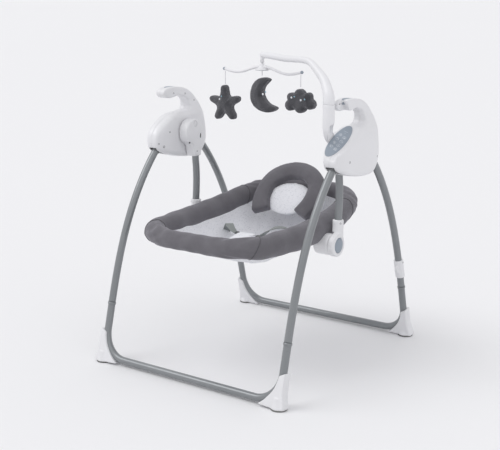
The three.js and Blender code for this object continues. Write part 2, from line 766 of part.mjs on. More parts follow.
// Horseshoe roll with a cushion in it, standing at the head end.
function headPillow() {
  const arch = new THREE.CatmullRomCurve3([
    point(-82, 110, ringZ + 4), point(-102, 142, ringZ + 38), point(-94, 186, ringZ + 88),
    point(0, 218, ringZ + 116),
    point(94, 186, ringZ + 88), point(102, 142, ringZ + 38), point(82, 110, ringZ + 4),
  ]);
  const length = arch.getLength();
  const profile = [[0, 0], [4, pillowRadius * 0.6]];
  const steps = 14;
  for (let i = 1; i < steps; i += 1) profile.push([(i / steps) * length, pillowRadius]);
  profile.push([length - 4, pillowRadius * 0.6], [length, 0]);
  const roll = turnedAlong(profile, arch, 10);
  const cushion = new THREE.SphereGeometry(1, 14, 7).scale(88, 62, 14);
  cushion.rotateX(48 * radians).translate(0, 158, ringZ + 42);
  return join(roll, cushion);
}

function softStrip(points, width, thickness) {
  const section = new THREE.Shape();
  section.moveTo(-width / 2, -thickness / 2);
  section.lineTo(width / 2, -thickness / 2);
  section.lineTo(width / 2, thickness / 2);
  section.lineTo(-width / 2, thickness / 2);
  section.closePath();
  const shape = { depth: 1, steps: points.length - 1, bevelEnabled: false };
  const strip = new THREE.ExtrudeGeometry(section, shape);
  const line = new Route(points);
  const places = strip.getAttribute('position');
  for (let i = 0; i < places.count; i += 1) {
    const at = line.getPoint(places.getZ(i));
    const way = line.getTangentAt(places.getZ(i));
    const side = point(0, 0, 1).cross(way).normalize();
    const up = way.clone().cross(side);
    at.addScaledVector(side, places.getX(i)).addScaledVector(up, places.getY(i));
    places.setXYZ(i, at.x, at.y, at.z);
  }
  return strip;
}

// Padded crotch piece of the harness, rising from the sling to the buckle.
function crotchPad() {
  const line = [[-205, -59], [-165, -48], [-125, -39], [-88, -33], [-62, -32]];
  return softStrip(line.map(([y, below]) => point(0, y, ringZ + below)), crotchPadWidth, 9);
}

// One waist strap, from the side of the sling in a loop to its clip end by the crotch piece.
function waistStrap() {
  return softStrip([
    point(128, 5, ringZ - 33), point(112, -14, ringZ - 19), point(92, -36, ringZ - 13),
    point(70, -54, ringZ - 17), point(52, -62, ringZ - 25), point(41, -65, ringZ - 31),
  ], strapWidth, 3);
}

// ---------- mobile ----------
const postX = hubX - postInset;
const postTopZ = axleHeight + postTop;

function mobilePost() {
  const stalk = sweep([
    point(postX, postY, postTopZ), point(postX, postY, postTopZ - 62),
    point(postX + 2, postY + 2, postTopZ - 80),
    point(postX + 8, postY + 10, postTopZ - 112), point(postX + 10, postY + 14, postTopZ - 128),
  ], postRadius, 14);
  const bore = upright(
    boreFor(spigotRadius), boreFor(spigotRadius), postTopZ - spigotLength - gap, postTopZ + 5, postX, postY,
  );
  return cut(stalk, bore, hubBody(), moved(hubBody(), -gap, -gap, gap), panelSlab(2 * gap, -20, 70));
}

const mobileZ = axleHeight + mobileReach;

function mobileArm() {
  const curve = new THREE.CatmullRomCurve3([
    point(postX, postY, postTopZ + gap), point(postX, postY, postTopZ + 8),
    point(postX - 3, postY + 3, postTopZ + 24),
    point(postX - 14, postY + 12, mobileZ - 76), point(postX - 33, postY + 26, mobileZ - 54),
    point(postX - 63, postY + 39, mobileZ - 30), point(postX - 96, postY + 53, mobileZ - 10),
    point(postX - 128, postY + 63, mobileZ - 5), point(140, -36, mobileZ - 5), point(100, -24, mobileZ - 5),
    point(60, -12, mobileZ - 2), point(22, 0, mobileZ), point(-6, mobileY + 1, mobileZ),
  ], false, 'centripetal');
  const length = curve.getLength();
  const taper = (share) =>
    mobileEndRadius + (postRadius - mobileEndRadius) * Math.max(0, 1 - share / 0.42) ** 1.1;
  const profile = [[0, 0]];
  const steps = 16;
  for (let i = 0; i < steps; i += 1) profile.push([(i / steps) * length, taper(i / steps)]);
  profile.push([length - 5, mobileEndRadius * 0.86], [length - 1, mobileEndRadius * 0.45], [length, 0]);
  const spigot = upright(spigotRadius, spigotRadius, postTopZ - spigotLength, postTopZ + 12, postX, postY);
  const stem = upright(6, 6, mobileZ - 22, mobileZ, 0, mobileY, 14);
  const shaftRoom = upright(boreFor(2, 10), boreFor(2, 10), mobileZ - 30, mobileZ - 6, 0, mobileY, 10);
  return cut(join(turnedAlong(profile, curve), spigot, stem), shaftRoom);
}

const rotorZ = mobileZ - rotorDrop;

function crossbarPoints(sign) {
  return new THREE.CatmullRomCurve3([
    point(0, mobileY, rotorZ + 12), point(sign * crossbarHalf * 0.3, mobileY, rotorZ + 5),
    point(sign * crossbarHalf * 0.66, mobileY, rotorZ - 6), point(sign * crossbarHalf, mobileY, rotorZ + 1),
  ]).getPoints(5);
}

function rotor() {
  const flare = new THREE.LatheGeometry([
    new THREE.Vector2(0, flareFoot), new THREE.Vector2(flareRadius, flareFoot),
    new THREE.Vector2(flareRadius, flareFoot + 2), new THREE.Vector2(14, 8),
    new THREE.Vector2(8, 14), new THREE.Vector2(6, 22), new THREE.Vector2(0, 22),
  ], 14).rotateX(Math.PI / 2).translate(0, mobileY, rotorZ);
  const shaft = upright(2, 2, rotorZ + 20, mobileZ - 7, 0, mobileY, 10);
  const bars = [1, -1].map((sign) => sweep(crossbarPoints(sign), 4, 8));
  const tips = [1, -1].map((sign) =>
    new THREE.SphereGeometry(5.5, 8, 6).translate(sign * crossbarHalf, mobileY, rotorZ + 1));
  return join(flare, shaft, ...bars, ...tips);
}

const outerToyX = crossbarHalf - 4;
const cordTop = (x) => (x === 0 ? rotorZ + flareFoot - gap : rotorZ - 5.5 - gap);

function plush(outline, x, z) {
  const rounding = 8;
  const toy = new THREE.ExtrudeGeometry(outline, {
    depth: toyThickness - 2 * rounding, bevelThickness: rounding, bevelSize: rounding,
    bevelOffset: -rounding, bevelSegments: 2, curveSegments: 3,
  }).translate(0, 0, rounding - toyThickness / 2);
  return toy.rotateX(Math.PI / 2).translate(x, mobileY, z);
}

function starOutline() {
  const outline = new THREE.Shape();
  const arms = 5;
  const reach = 56;
  for (let i = 0; i < arms; i += 1) {
    const tip = (i / arms) * 2 * Math.PI + 90 * radians;
    const spread = 0.24;
    const place = (angle, radius) => [radius * Math.cos(angle), radius * Math.sin(angle)];
    if (i === 0) outline.moveTo(...place(tip - spread, reach));
    else outline.lineTo(...place(tip - spread, reach));
    outline.quadraticCurveTo(...place(tip, reach * 1.08), ...place(tip + spread, reach));
    outline.lineTo(...place(tip + Math.PI / arms, reach * 0.66));
  }
  outline.closePath();
  return outline;
}

function moonOutline() {
  const edge = [
    [-28, 54], [-8, 58], [16, 50], [34, 32], [43, 6], [41, -18], [27, -40], [2, -53], [-26, -56],
    [-48, -51], [-59, -40], [-46, -33], [-29, -24], [-15, -8], [-9, 10], [-13, 28], [-25, 43],
  ];
  return new THREE.Shape(edge.map(([x, y]) => new THREE.Vector2(x, y)));
}

function cloudOutline() {
  const outline = new THREE.Shape();
  outline.absarc(-2, -19, 23, -140 * radians, -50 * radians);
  outline.absarc(34, -16, 19, -100 * radians, 50 * radians);
  outline.absarc(30, 8, 16, -20 * radians, 90 * radians);
  outline.absarc(1, 18, 21, 10 * radians, 170 * radians);
  outline.absarc(-28, 13, 15, 80 * radians, 190 * radians);
  outline.absarc(-38, -11, 18, 120 * radians, 280 * radians);
  outline.closePath();
  return outline;
}

const toyCord = (x, lowZ) => sweep([point(x, mobileY, cordTop(x)), point(x, mobileY, lowZ)], cordRadius, 8);

// ---------- assembly ----------
const swing = new THREE.Group();

function add(name, geometry, material) {
  const piece = new THREE.Mesh(geometry, material);
  piece.name = name;
  swing.add(piece);
}

function addPair(name, geometry, material) {
  add(`${name}_right`, geometry, material);
  add(`${name}_left`, mirrored(geometry, -1), material);
}

// Hubs.
add('hub_outer_right', hubHalf(true, true), whitePlastic);
add('hub_inner_right', hubHalf(false, true), whitePlastic);
add('hub_outer_left', mirrored(hubHalf(true, false), -1), whitePlastic);
add('hub_inner_left', mirrored(hubHalf(false, false), -1), whitePlastic);
addPair('pivot_bush', pivotBush(), darkPlastic);
addPair('fold_button', hookButton(), greyPlastic);
add('control_panel', panelSlab(0, gap, panelThickness), greyPlastic);
add('drive_coil', driveCoil(), copper);
add('circuit_board', circuitBoard(), boardGreen);
add('speaker', speaker(), darkPlastic);
add('power_inlet', powerInlet(), darkPlastic);

// Leg frames.
for (const [end, sideY] of [['rear', 1], ['front', -1]]) {
  addPair(`${end}_leg`, mirrored(upperLeg(), 1, sideY), tubePaint);
  addPair(`${end}_leg_hinge`, mirrored(legHinge(), 1, sideY), darkPlastic);
  add(`${end}_floor_tube`, mirrored(floorTube(), 1, sideY), tubePaint);
  addPair(`${end}_foot`, mirrored(footShell(), 1, sideY), whitePlastic);
}
add('leg_clip', legClip(), whitePlastic);

// Swinging arms.
addPair('arm_cover', armCover(), whitePlastic);
addPair('swing_axle', axleRod(), steel);
addPair('arm_tube', armTube(), tubePaint);
addPair('arm_knuckle', armKnuckle(), whitePlastic);
addPair('recline_button', reclineButton(), greyPlastic);
add('drive_lever', driveLever(), darkPlastic);

// Seat.
addPair('seat_bracket', seatBracketCut(), whitePlastic);
add('seat_tube_front', seatTubeFront(), tubePaint);
add('seat_tube_rear', seatTubeRear(), tubePaint);
add('ring_pad', ringPad(), charcoalVelour);
add('seat_sling', sling(), speckledJersey);
add('head_pillow', headPillow(), charcoalVelour);
add('crotch_pad', crotchPad(), speckledJersey);
addPair('strap', waistStrap(), greyWebbing);

// Mobile.
add('mobile_post', mobilePost(), whitePlastic);
add('mobile_arm', mobileArm(), whitePlastic);
add('mobile_rotor', rotor(), whitePlastic);
const toys = [
  ['star', starOutline(), -outerToyX, rotorZ - 104, 58],
  ['moon', moonOutline(), 0, rotorZ - 71, 57],
  ['cloud', cloudOutline(), outerToyX, rotorZ - 81, 39.3],
];
for (const [name, outline, x, z, rise] of toys) {
  add(`${name}_toy`, plush(outline, x, z), darkPlush);
  add(`${name}_cord`, toyCord(x, z + rise), speckledJersey);
}

export default swing;
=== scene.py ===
import math

import bmesh
import bpy
from mathutils import Matrix, Vector


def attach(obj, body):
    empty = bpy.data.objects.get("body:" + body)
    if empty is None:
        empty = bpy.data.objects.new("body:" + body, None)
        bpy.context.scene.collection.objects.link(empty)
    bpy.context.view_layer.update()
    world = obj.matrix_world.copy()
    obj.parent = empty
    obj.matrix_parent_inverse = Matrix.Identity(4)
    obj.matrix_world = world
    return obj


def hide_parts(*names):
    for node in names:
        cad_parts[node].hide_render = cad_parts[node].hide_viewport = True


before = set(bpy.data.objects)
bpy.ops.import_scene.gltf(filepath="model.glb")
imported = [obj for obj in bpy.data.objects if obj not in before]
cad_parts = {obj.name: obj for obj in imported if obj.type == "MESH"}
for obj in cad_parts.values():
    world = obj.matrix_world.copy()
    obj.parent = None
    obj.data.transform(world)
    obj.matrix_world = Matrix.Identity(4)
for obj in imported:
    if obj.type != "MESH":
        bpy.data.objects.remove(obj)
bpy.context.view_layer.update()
scene = bpy.context.scene


def mm(x, y, z):
    return Vector((x, y, z)) / 1000


# camera, floor and lights
view = {"place": (1.7042, -2.4542, 1.0782), "way": (-0.5647, 0.7946, -0.2231), "lens": 72.1, "sensor": 36}
studio = {
    "floorSize": 700, "floorTone": (0.84, 0.84, 0.85), "airTone": (0.93, 0.93, 0.95), "air": 0.84,
    # name: the way it shines, spread in degrees, strength
    "key": ((0.62, 0.5, -1.0), 36, 0.85),
    "fill": ((-0.7, 0.3, -0.8), 60, 0.25),
}


def aim(thing, place, way):
    thing.location = place
    thing.rotation_euler = Vector(way).to_track_quat("-Z", "Y").to_euler()


def makeStudio():
    camera = bpy.data.objects.new("camera", bpy.data.cameras.new("camera"))
    camera.data.lens, camera.data.sensor_width = view["lens"], view["sensor"]
    aim(camera, view["place"], view["way"])
    scene.collection.objects.link(camera)
    scene.camera = camera
    for name in ("key", "fill"):
        way, spread, strength = studio[name]
        lamp = bpy.data.objects.new(name, bpy.data.lights.new(name, "SUN"))
        lamp.data.angle, lamp.data.energy = math.radians(spread), strength
        aim(lamp, (0, 0, 3), way)
        scene.collection.objects.link(lamp)
    air = bpy.data.worlds.new("air")
    air.use_nodes = True
    air.node_tree.nodes["Background"].inputs["Color"].default_value = (*studio["airTone"], 1)
    air.node_tree.nodes["Background"].inputs["Strength"].default_value = studio["air"]
    scene.world = air
    scene.view_settings.view_transform = "Standard"
    bm = bmesh.new()
    bmesh.ops.create_grid(bm, x_segments=8, y_segments=8, size=studio["floorSize"] / 2)
    floor = toObject("studioFloor", bm, paintFloor())


# shader node helpers
def put(tree, kind, feeds=None, **settings):
    node = tree.nodes.new(kind)
    for key, value in settings.items():
        setattr(node, key, value)
    for socket, source in (feeds or {}).items():
        if isinstance(source, bpy.types.NodeSocket):
            tree.links.new(source, node.inputs[socket])
        else:
            node.inputs[socket].default_value = source
    return node


def startGroup(name, inputs, outputs):
    tree = bpy.data.node_groups.new(name, "ShaderNodeTree")
    kinds = {"Vector": "NodeSocketVector", "Color": "NodeSocketColor"}
    for label, value in inputs.items():
        kind = "NodeSocketFloat"
        if isinstance(value, tuple):
            kind = kinds["Color"] if len(value) == 4 else kinds["Vector"]
        tree.interface.new_socket(label, in_out="INPUT", socket_type=kind).default_value = value
    for label in outputs:
        kind = kinds["Color"] if label == "Color" else "NodeSocketFloat"
        tree.interface.new_socket(label, in_out="OUTPUT", socket_type=kind)
    return tree, tree.nodes.new("NodeGroupInput").outputs, tree.nodes.new("NodeGroupOutput").inputs


def mixTones(tree, share, first, second):
    node = put(tree, "ShaderNodeMix", data_type="RGBA")
    for socket, source in ((0, share), (6, first), (7, second)):
        if isinstance(source, bpy.types.NodeSocket):
            tree.links.new(source, node.inputs[socket])
        else:
            node.inputs[socket].default_value = source
    return node.outputs[2]


def maths(tree, operation, first, second=0.5, third=0.5):
    return put(tree, "ShaderNodeMath", {0: first, 1: second, 2: third}, operation=operation).outputs[0]


def ramp(tree, value, low, high, floor=0, ceiling=1):
    return put(tree, "ShaderNodeMapRange", {0: value, 1: low, 2: high, 3: floor, 4: ceiling}).outputs[0]


def noise(tree, vector, scale, detail=2, roughness=0.5):
    feeds = {"Vector": vector, "Scale": scale, "Detail": detail, "Roughness": roughness}
    return put(tree, "ShaderNodeTexNoise", feeds).outputs[0]


def skinGroup():
    start = {"Vector": (0, 0, 0), "Color": (1, 1, 1, 1), "Worn": (1, 1, 1, 1), "Grain": 900.0,
             "Mottle": 0.5, "Rough": 0.4}
    tree, given, out = startGroup("mouldedSkin", start, ["Color", "Roughness", "Height"])
    cloudy = noise(tree, given["Vector"], 7.0, 3)
    handled = ramp(tree, noise(tree, given["Vector"], 38.0, 5, 0.65), 0.52, 0.74)
    grain = noise(tree, given["Vector"], given["Grain"], 2)
    share = maths(tree, "MULTIPLY", ramp(tree, cloudy, 0.35, 0.7), given["Mottle"])
    tree.links.new(mixTones(tree, share, given["Color"], given["Worn"]), out["Color"])
    rough = maths(tree, "MULTIPLY_ADD", handled, 0.12, given["Rough"])
    tree.links.new(maths(tree, "MULTIPLY_ADD", maths(tree, "SUBTRACT", grain, 0.5), 0.14, rough),
                   out["Roughness"])
    tree.links.new(maths(tree, "MULTIPLY_ADD", handled, 0.25, grain), out["Height"])
    return tree


def pileGroup():
    start = {"Vector": (0, 0, 0), "Color": (1, 1, 1, 1), "Shade": (1, 1, 1, 1), "Pile": 1100.0, "Nap": 16.0,
             "Strength": 0.6}
    tree, given, out = startGroup("clothPile", start, ["Color", "Roughness", "Height"])
    nap = noise(tree, given["Vector"], given["Nap"], 4, 0.6)
    tuft = noise(tree, given["Vector"], given["Pile"], 3, 0.7)
    fibre = put(tree, "ShaderNodeTexVoronoi", {"Vector": given["Vector"],
                                               "Scale": given["Pile"]}).outputs["Distance"]
    share = maths(tree, "MULTIPLY", ramp(tree, nap, 0.34, 0.68), given["Strength"])
    # low spots between the tufts lean to the darker Shade colour: painted shade in the pile hollows, added to
    # the random nap mottling
    deep = maths(tree, "MULTIPLY_ADD", ramp(tree, tuft, 0.62, 0.35), 0.35, share)
    tree.links.new(mixTones(tree, deep, given["Color"], given["Shade"]), out["Color"])
    tree.links.new(ramp(tree, nap, 0.3, 0.7, 0.82, 0.98), out["Roughness"])
    tree.links.new(maths(tree, "MULTIPLY_ADD", tuft, 0.8, maths(tree, "MULTIPLY", fibre, 0.4)), out["Height"])
    return tree


def knitGroup():
    start = {"Vector": (0, 0, 0), "Color": (1, 1, 1, 1), "Fleck": (1, 1, 1, 1), "Loops": 520.0,
             "Flecks": 150.0, "Share": 0.5}
    tree, given, out = startGroup("knitCloth", start, ["Color", "Roughness", "Height"])
    rows = put(tree, "ShaderNodeTexWave", {"Vector": given["Vector"], "Scale": given["Loops"],
                                           "Distortion": 1.2},
               bands_direction="DIAGONAL").outputs["Fac"]
    columns = put(tree, "ShaderNodeTexWave", {"Vector": given["Vector"], "Scale": given["Loops"],
                                              "Distortion": 0.8},
                  bands_direction="X").outputs["Fac"]
    cells = put(tree, "ShaderNodeTexVoronoi", {"Vector": given["Vector"], "Scale": given["Flecks"]})
    near = ramp(tree, cells.outputs["Distance"], 0.34, 0.12)
    tone = put(tree, "ShaderNodeSeparateColor", {0: cells.outputs["Color"]}).outputs[0]
    kept = maths(tree, "LESS_THAN", tone, given["Share"])
    streak = ramp(tree, noise(tree, given["Vector"], 260.0, 3), 0.5, 0.75, 0, 0.4)
    share = maths(tree, "MAXIMUM", maths(tree, "MULTIPLY", near, kept), streak)
    tree.links.new(mixTones(tree, share, given["Color"], given["Fleck"]), out["Color"])
    tree.links.new(ramp(tree, rows, 0, 1, 0.85, 0.95), out["Roughness"])
    tree.links.new(maths(tree, "MULTIPLY", rows, columns), out["Height"])
    return tree


def finish(name, group, values, bump=0.1, reach=0.0004, **shader):
    made = bpy.data.materials.new(name)
    made.use_nodes = True
    tree = made.node_tree
    bsdf = tree.nodes["Principled BSDF"]
    place = put(tree, "ShaderNodeTexCoord").outputs["Object"]
    skin = put(tree, "ShaderNodeGroup", node_tree=group)
    for label, value in values.items():
        skin.inputs[label].default_value = value
    tree.links.new(place, skin.inputs["Vector"])
    tree.links.new(skin.outputs["Color"], bsdf.inputs["Base Color"])
    tree.links.new(skin.outputs["Roughness"], bsdf.inputs["Roughness"])
    lift = put(tree, "ShaderNodeBump", {"Height": skin.outputs["Height"], "Strength": bump,
                                        "Distance": reach})
    tree.links.new(lift.outputs[0], bsdf.inputs["Normal"])
    for label, value in shader.items():
        bsdf.inputs[label].default_value = value
    made.diffuse_color = values["Color"]
    return made


def paintFloor():
    return finish("studioFloor", skin, {"Color": (*studio["floorTone"], 1),
                                        "Worn": (*studio["floorTone"], 1), "Rough": 0.7})


skin, pile, knit = skinGroup(), pileGroup(), knitGroup()


def skinFinish(name, tone, worn, grain, mottle, rough, **more):
    return finish(name, skin, {"Color": (*tone, 1), "Worn": (*worn, 1), "Grain": grain, "Mottle": mottle,
                               "Rough": rough}, **more)


def pileFinish(name, tone, shade, tufts, nap, strength, **more):
    return finish(name, pile, {"Color": (*tone, 1), "Shade": (*shade, 1), "Pile": tufts, "Nap": nap,
                               "Strength": strength}, **more)


def knitFinish(name, tone, fleck, loops, flecks, share, **more):
    return finish(name, knit, {"Color": (*tone, 1), "Fleck": (*fleck, 1), "Loops": loops, "Flecks": flecks,
                               "Share": share}, **more)


whitePlastic = skinFinish("whitePlastic", (0.78, 0.78, 0.80), (0.72, 0.72, 0.73), 1500, 0.5, 0.34,
                          bump=0.12, **{"Specular IOR Level": 0.5, "Coat Weight": 0.12,
                                        "Coat Roughness": 0.25})
greyPlastic = skinFinish("greyPlastic", (0.30, 0.345, 0.40), (0.26, 0.30, 0.35), 1700, 0.6, 0.42, bump=0.15)
darkPlastic = skinFinish("darkPlastic", (0.055, 0.058, 0.063), (0.09, 0.09, 0.095), 1300, 0.5, 0.5, bump=0.2)
collarGrey = skinFinish("collarGrey", (0.15, 0.156, 0.163), (0.18, 0.185, 0.192), 1300, 0.5, 0.5, bump=0.2)
rubber = skinFinish("footRubber", (0.12, 0.12, 0.12), (0.2, 0.2, 0.19), 800, 0.8, 0.75, bump=0.3)
tubePaint = skinFinish("tubePaint", (0.25, 0.262, 0.272), (0.212, 0.224, 0.234), 1100, 0.5, 0.30, bump=0.1,
                       Metallic=0.35, **{"Coat Weight": 0.2, "Coat Roughness": 0.2})
steel = skinFinish("turnedSteel", (0.52, 0.52, 0.53), (0.4, 0.4, 0.41), 2200, 0.6, 0.22, bump=0.2,
                   Metallic=1.0)
copper = skinFinish("coilCopper", (0.42, 0.17, 0.07), (0.3, 0.11, 0.05), 1800, 0.7, 0.3, bump=0.4,
                    Metallic=1.0)
board = skinFinish("boardGreen", (0.03, 0.15, 0.07), (0.02, 0.1, 0.05), 1200, 0.8, 0.35, bump=0.3)
iconPrint = skinFinish("iconPrint", (0.82, 0.85, 0.88), (0.74, 0.77, 0.8), 2000, 0.4, 0.5, bump=0.1)
velour = pileFinish("velour", (0.155, 0.15, 0.165), (0.105, 0.10, 0.112), 1300, 15, 0.55, bump=0.5,
                    reach=0.0008, **{"Sheen Weight": 0.35, "Sheen Roughness": 0.45,
                                     "Sheen Tint": (0.75, 0.74, 0.8, 1)})
piping = pileFinish("piping", (0.085, 0.083, 0.092), (0.06, 0.058, 0.065), 1800, 60, 0.5, bump=0.5,
                    reach=0.0005, **{"Sheen Weight": 0.3})
plush = pileFinish("plush", (0.085, 0.085, 0.093), (0.04, 0.04, 0.046), 620, 30, 0.7, bump=0.9,
                   reach=0.0022, **{"Sheen Weight": 0.5, "Sheen Roughness": 0.5,
                                    "Sheen Tint": (0.7, 0.7, 0.75, 1)})
jersey = knitFinish("speckledJersey", (0.86, 0.865, 0.90), (0.48, 0.49, 0.54), 500, 190, 0.3, bump=0.35,
                    reach=0.0006, **{"Sheen Weight": 0.2})
webbing = knitFinish("webbing", (0.27, 0.29, 0.285), (0.17, 0.185, 0.18), 420, 420, 0.6, bump=0.6,
                     reach=0.0007, **{"Sheen Weight": 0.15})
twine = knitFinish("twine", (0.72, 0.72, 0.75), (0.5, 0.5, 0.54), 700, 900, 0.5, bump=0.8, reach=0.0004)
blueThread = pileFinish("blueThread", (0.32, 0.52, 0.62), (0.2, 0.36, 0.45), 2200, 200, 0.5, bump=0.6,
                        reach=0.0004)
whiteThread = pileFinish("whiteThread", (0.85, 0.86, 0.88), (0.6, 0.62, 0.66), 2200, 200, 0.5, bump=0.6,
                         reach=0.0004)
print("materials ready")


# mesh helpers
def toObject(name, bm, material):
    mesh = bpy.data.meshes.new(name)
    bm.to_mesh(mesh)
    bm.free()
    for finishing in (material if isinstance(material, list) else [material]):
        mesh.materials.append(finishing)
    mesh.shade_smooth()
    piece = bpy.data.objects.new(name, mesh)
    scene.collection.objects.link(piece)
    return piece


def settle(piece, body, slot, *nodes):
    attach(piece, body)
    if nodes:
        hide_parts(*nodes)
    return piece


def baked(piece):
    mesh = bpy.data.meshes.new_from_object(piece.evaluated_get(bpy.context.evaluated_depsgraph_get()))
    bm = bmesh.new()
    bm.from_mesh(mesh)
    bpy.data.objects.remove(piece)
    return bm


def bakeModifiers(bm, *modifiers):
    holder = toObject("holder", bm, [])
    for kind, settings in modifiers:
        modifier = holder.modifiers.new(kind, kind)
        for key, value in settings.items():
            setattr(modifier, key, value)
    return baked(holder)


def joined(parts):
    whole = bmesh.new()
    for part in parts:
        mesh = bpy.data.meshes.new("part")
        part.to_mesh(mesh)
        part.free()
        whole.from_mesh(mesh)
    return whole


def fuse(parts, voxel, rounds, swell=0.0):
    return bakeModifiers(
        joined(parts), ("REMESH", {"mode": "VOXEL", "voxel_size": voxel}),
        ("SMOOTH", {"factor": 0.5, "iterations": rounds}), ("DISPLACE", {"strength": swell, "mid_level": 0}),
    )


def cutAway(bm, tools):
    for tool in tools:
        cutter = toObject("cutter", tool, [])
        bm = bakeModifiers(bm, ("BOOLEAN", {"object": cutter, "operation": "DIFFERENCE", "solver": "EXACT"}))
        bpy.data.objects.remove(cutter)
    return bm


def bezier(a, b, c, d, count):
    spots = []
    for i in range(count):
        t = i / count
        u = 1 - t
        spots.append(a * u ** 3 + b * 3 * u * u * t + c * 3 * u * t * t + d * t ** 3)
    return spots


def throughPoints(points, count, closed=False):
    spots, size = [], len(points)
    spans = size if closed else size - 1
    for i in range(count + (0 if closed else 1)):
        place = i / count * spans
        k = min(int(place), spans - 1)
        t = place - k
        if closed:
            p = [points[(k + j) % size] for j in (-1, 0, 1, 2)]
        else:
            p = [points[min(max(k + j, 0), size - 1)] for j in (-1, 0, 1, 2)]
        spots.append(0.5 * ((2 * p[1]) + (p[2] - p[0]) * t + (2 * p[0] - 5 * p[1] + 4 * p[2] - p[3]) * t * t
                            + (3 * p[1] - p[0] - 3 * p[2] + p[3]) * t ** 3))
    return spots


def evenly(points, step, closed=False):
    line = list(points) + ([points[0]] if closed else [])
    lengths = [0]
    for a, b in zip(line, line[1:]):
        lengths.append(lengths[-1] + (b - a).length)
    count = max(2, round(lengths[-1] / step))
    spots, k = [], 0
    for i in range(count + (0 if closed else 1)):
        goal = lengths[-1] * i / count
        while k < len(line) - 2 and lengths[k + 1] < goal:
            k += 1
        span = lengths[k + 1] - lengths[k] or 1
        spots.append(line[k].lerp(line[k + 1], min(max((goal - lengths[k]) / span, 0), 1)))
    return spots


def sweep(points, radius, facets=9, closed=False):
    curve = bpy.data.curves.new("route", "CURVE")
    curve.dimensions = "3D"
    curve.bevel_depth, curve.bevel_resolution, curve.use_fill_caps = 1, facets, not closed
    curve.twist_smooth = 0
    spline = curve.splines.new("POLY")
    spline.points.add(len(points) - 1)
    spline.use_cyclic_u = closed
    for i, (knot, place) in enumerate(zip(spline.points, points)):
        knot.co = (*place, 1)
        knot.radius = radius(i / max(1, len(points) - 1)) if callable(radius) else radius
    holder = bpy.data.objects.new("route", curve)
    scene.collection.objects.link(holder)
    bm = baked(holder)
    bmesh.ops.remove_doubles(bm, verts=bm.verts, dist=1e-6)
    bmesh.ops.recalc_face_normals(bm, faces=bm.faces)
    return bm


def slab(outline, middle, thickness):
    bm = bmesh.new()
    face = bm.faces.new([bm.verts.new((middle - thickness / 2, y, z)) for y, z in outline])
    grown = bmesh.ops.extrude_face_region(bm, geom=[face])["geom"]
    bmesh.ops.translate(bm, vec=(thickness, 0, 0),
                        verts=[v for v in grown if isinstance(v, bmesh.types.BMVert)])
    bmesh.ops.recalc_face_normals(bm, faces=bm.faces)
    return bm


def drum(radius, fromX, toX, y, z, rounding=0.0, facets=64):
    bm = bmesh.new()
    place = Matrix.Translation(((fromX + toX) / 2, y, z)) @ Matrix.Rotation(math.pi / 2, 4, "Y")
    bmesh.ops.create_cone(bm, cap_ends=True, segments=facets, radius1=radius, radius2=radius,
                          depth=abs(toX - fromX), matrix=place)
    if rounding:
        rims = [e for e in bm.edges if any(len(f.verts) > 4 for f in e.link_faces)]
        bmesh.ops.bevel(bm, geom=rims, offset=rounding, affect="EDGES", segments=5, profile=0.5, material=-1)
    return bm


def turned(profile, place, axis="Z", steps=48):
    bm = bmesh.new()
    line = [bm.verts.new((radius, 0, height)) for radius, height in profile]
    edges = [bm.edges.new(pair) for pair in zip(line, line[1:])]
    bmesh.ops.spin(bm, geom=line + edges, cent=(0, 0, 0), axis=(0, 0, 1), angle=2 * math.pi, steps=steps,
                   use_merge=True)
    bmesh.ops.remove_doubles(bm, verts=bm.verts, dist=1e-6)
    bmesh.ops.recalc_face_normals(bm, faces=bm.faces)
    turn = {"Z": Matrix(), "X": Matrix.Rotation(math.pi / 2, 4, "Y"),
            "Y": Matrix.Rotation(-math.pi / 2, 4, "X")}[axis]
    bmesh.ops.transform(bm, matrix=Matrix.Translation(place) @ turn, verts=bm.verts)
    return bm


def ellipsoid(place, size, turn=Matrix(), segments=32):
    bm = bmesh.new()
    bmesh.ops.create_uvsphere(bm, u_segments=segments, v_segments=segments // 2, radius=1,
                              matrix=Matrix.Translation(place) @ turn @ Matrix.Diagonal((*size, 1)))
    return bm


def mirrorX(bm):
    bmesh.ops.scale(bm, vec=(-1, 1, 1), verts=bm.verts)
    bmesh.ops.reverse_faces(bm, faces=bm.faces)
    return bm


def onSide(bm, side):
    return mirrorX(bm) if side < 0 else bm


sides = {"Right": 1, "Left": -1}
tail = {"Right": "right", "Left": "left"}

# cords of the mobile
mobile = {
    "y": 6, "arm": 136, "barFoot": 856.2, "lowEnd": {"star": 816, "cloud": 820.3}, "moonFrom": 863.7,
    "moonTop": 848, "cordThickness": 2,
}


def makeCords():
    top = mobile["barFoot"]
    for toy, x in (("star", -mobile["arm"]), ("cloud", mobile["arm"])):
        low = mobile["lowEnd"][toy]
        path = [mm(x, mobile["y"], top + (low - top) * i / 15) for i in range(16)]
        piece = toObject(toy + "Cord", sweep(path, mobile["cordThickness"] / 2000, 4), twine)
        settle(piece, toy, "cord", toy + "_cord")
    path = [mm(0, mobile["y"],
               mobile["moonFrom"] + (mobile["moonTop"] - mobile["moonFrom"]) * i / 6) for i in range(7)]
    settle(toObject("moonCord", sweep(path, mobile["cordThickness"] / 2000, 4), twine), "moon", "cord",
           "moon_cord")


makeStudio()
makeCords()
print("camera and cords ready")

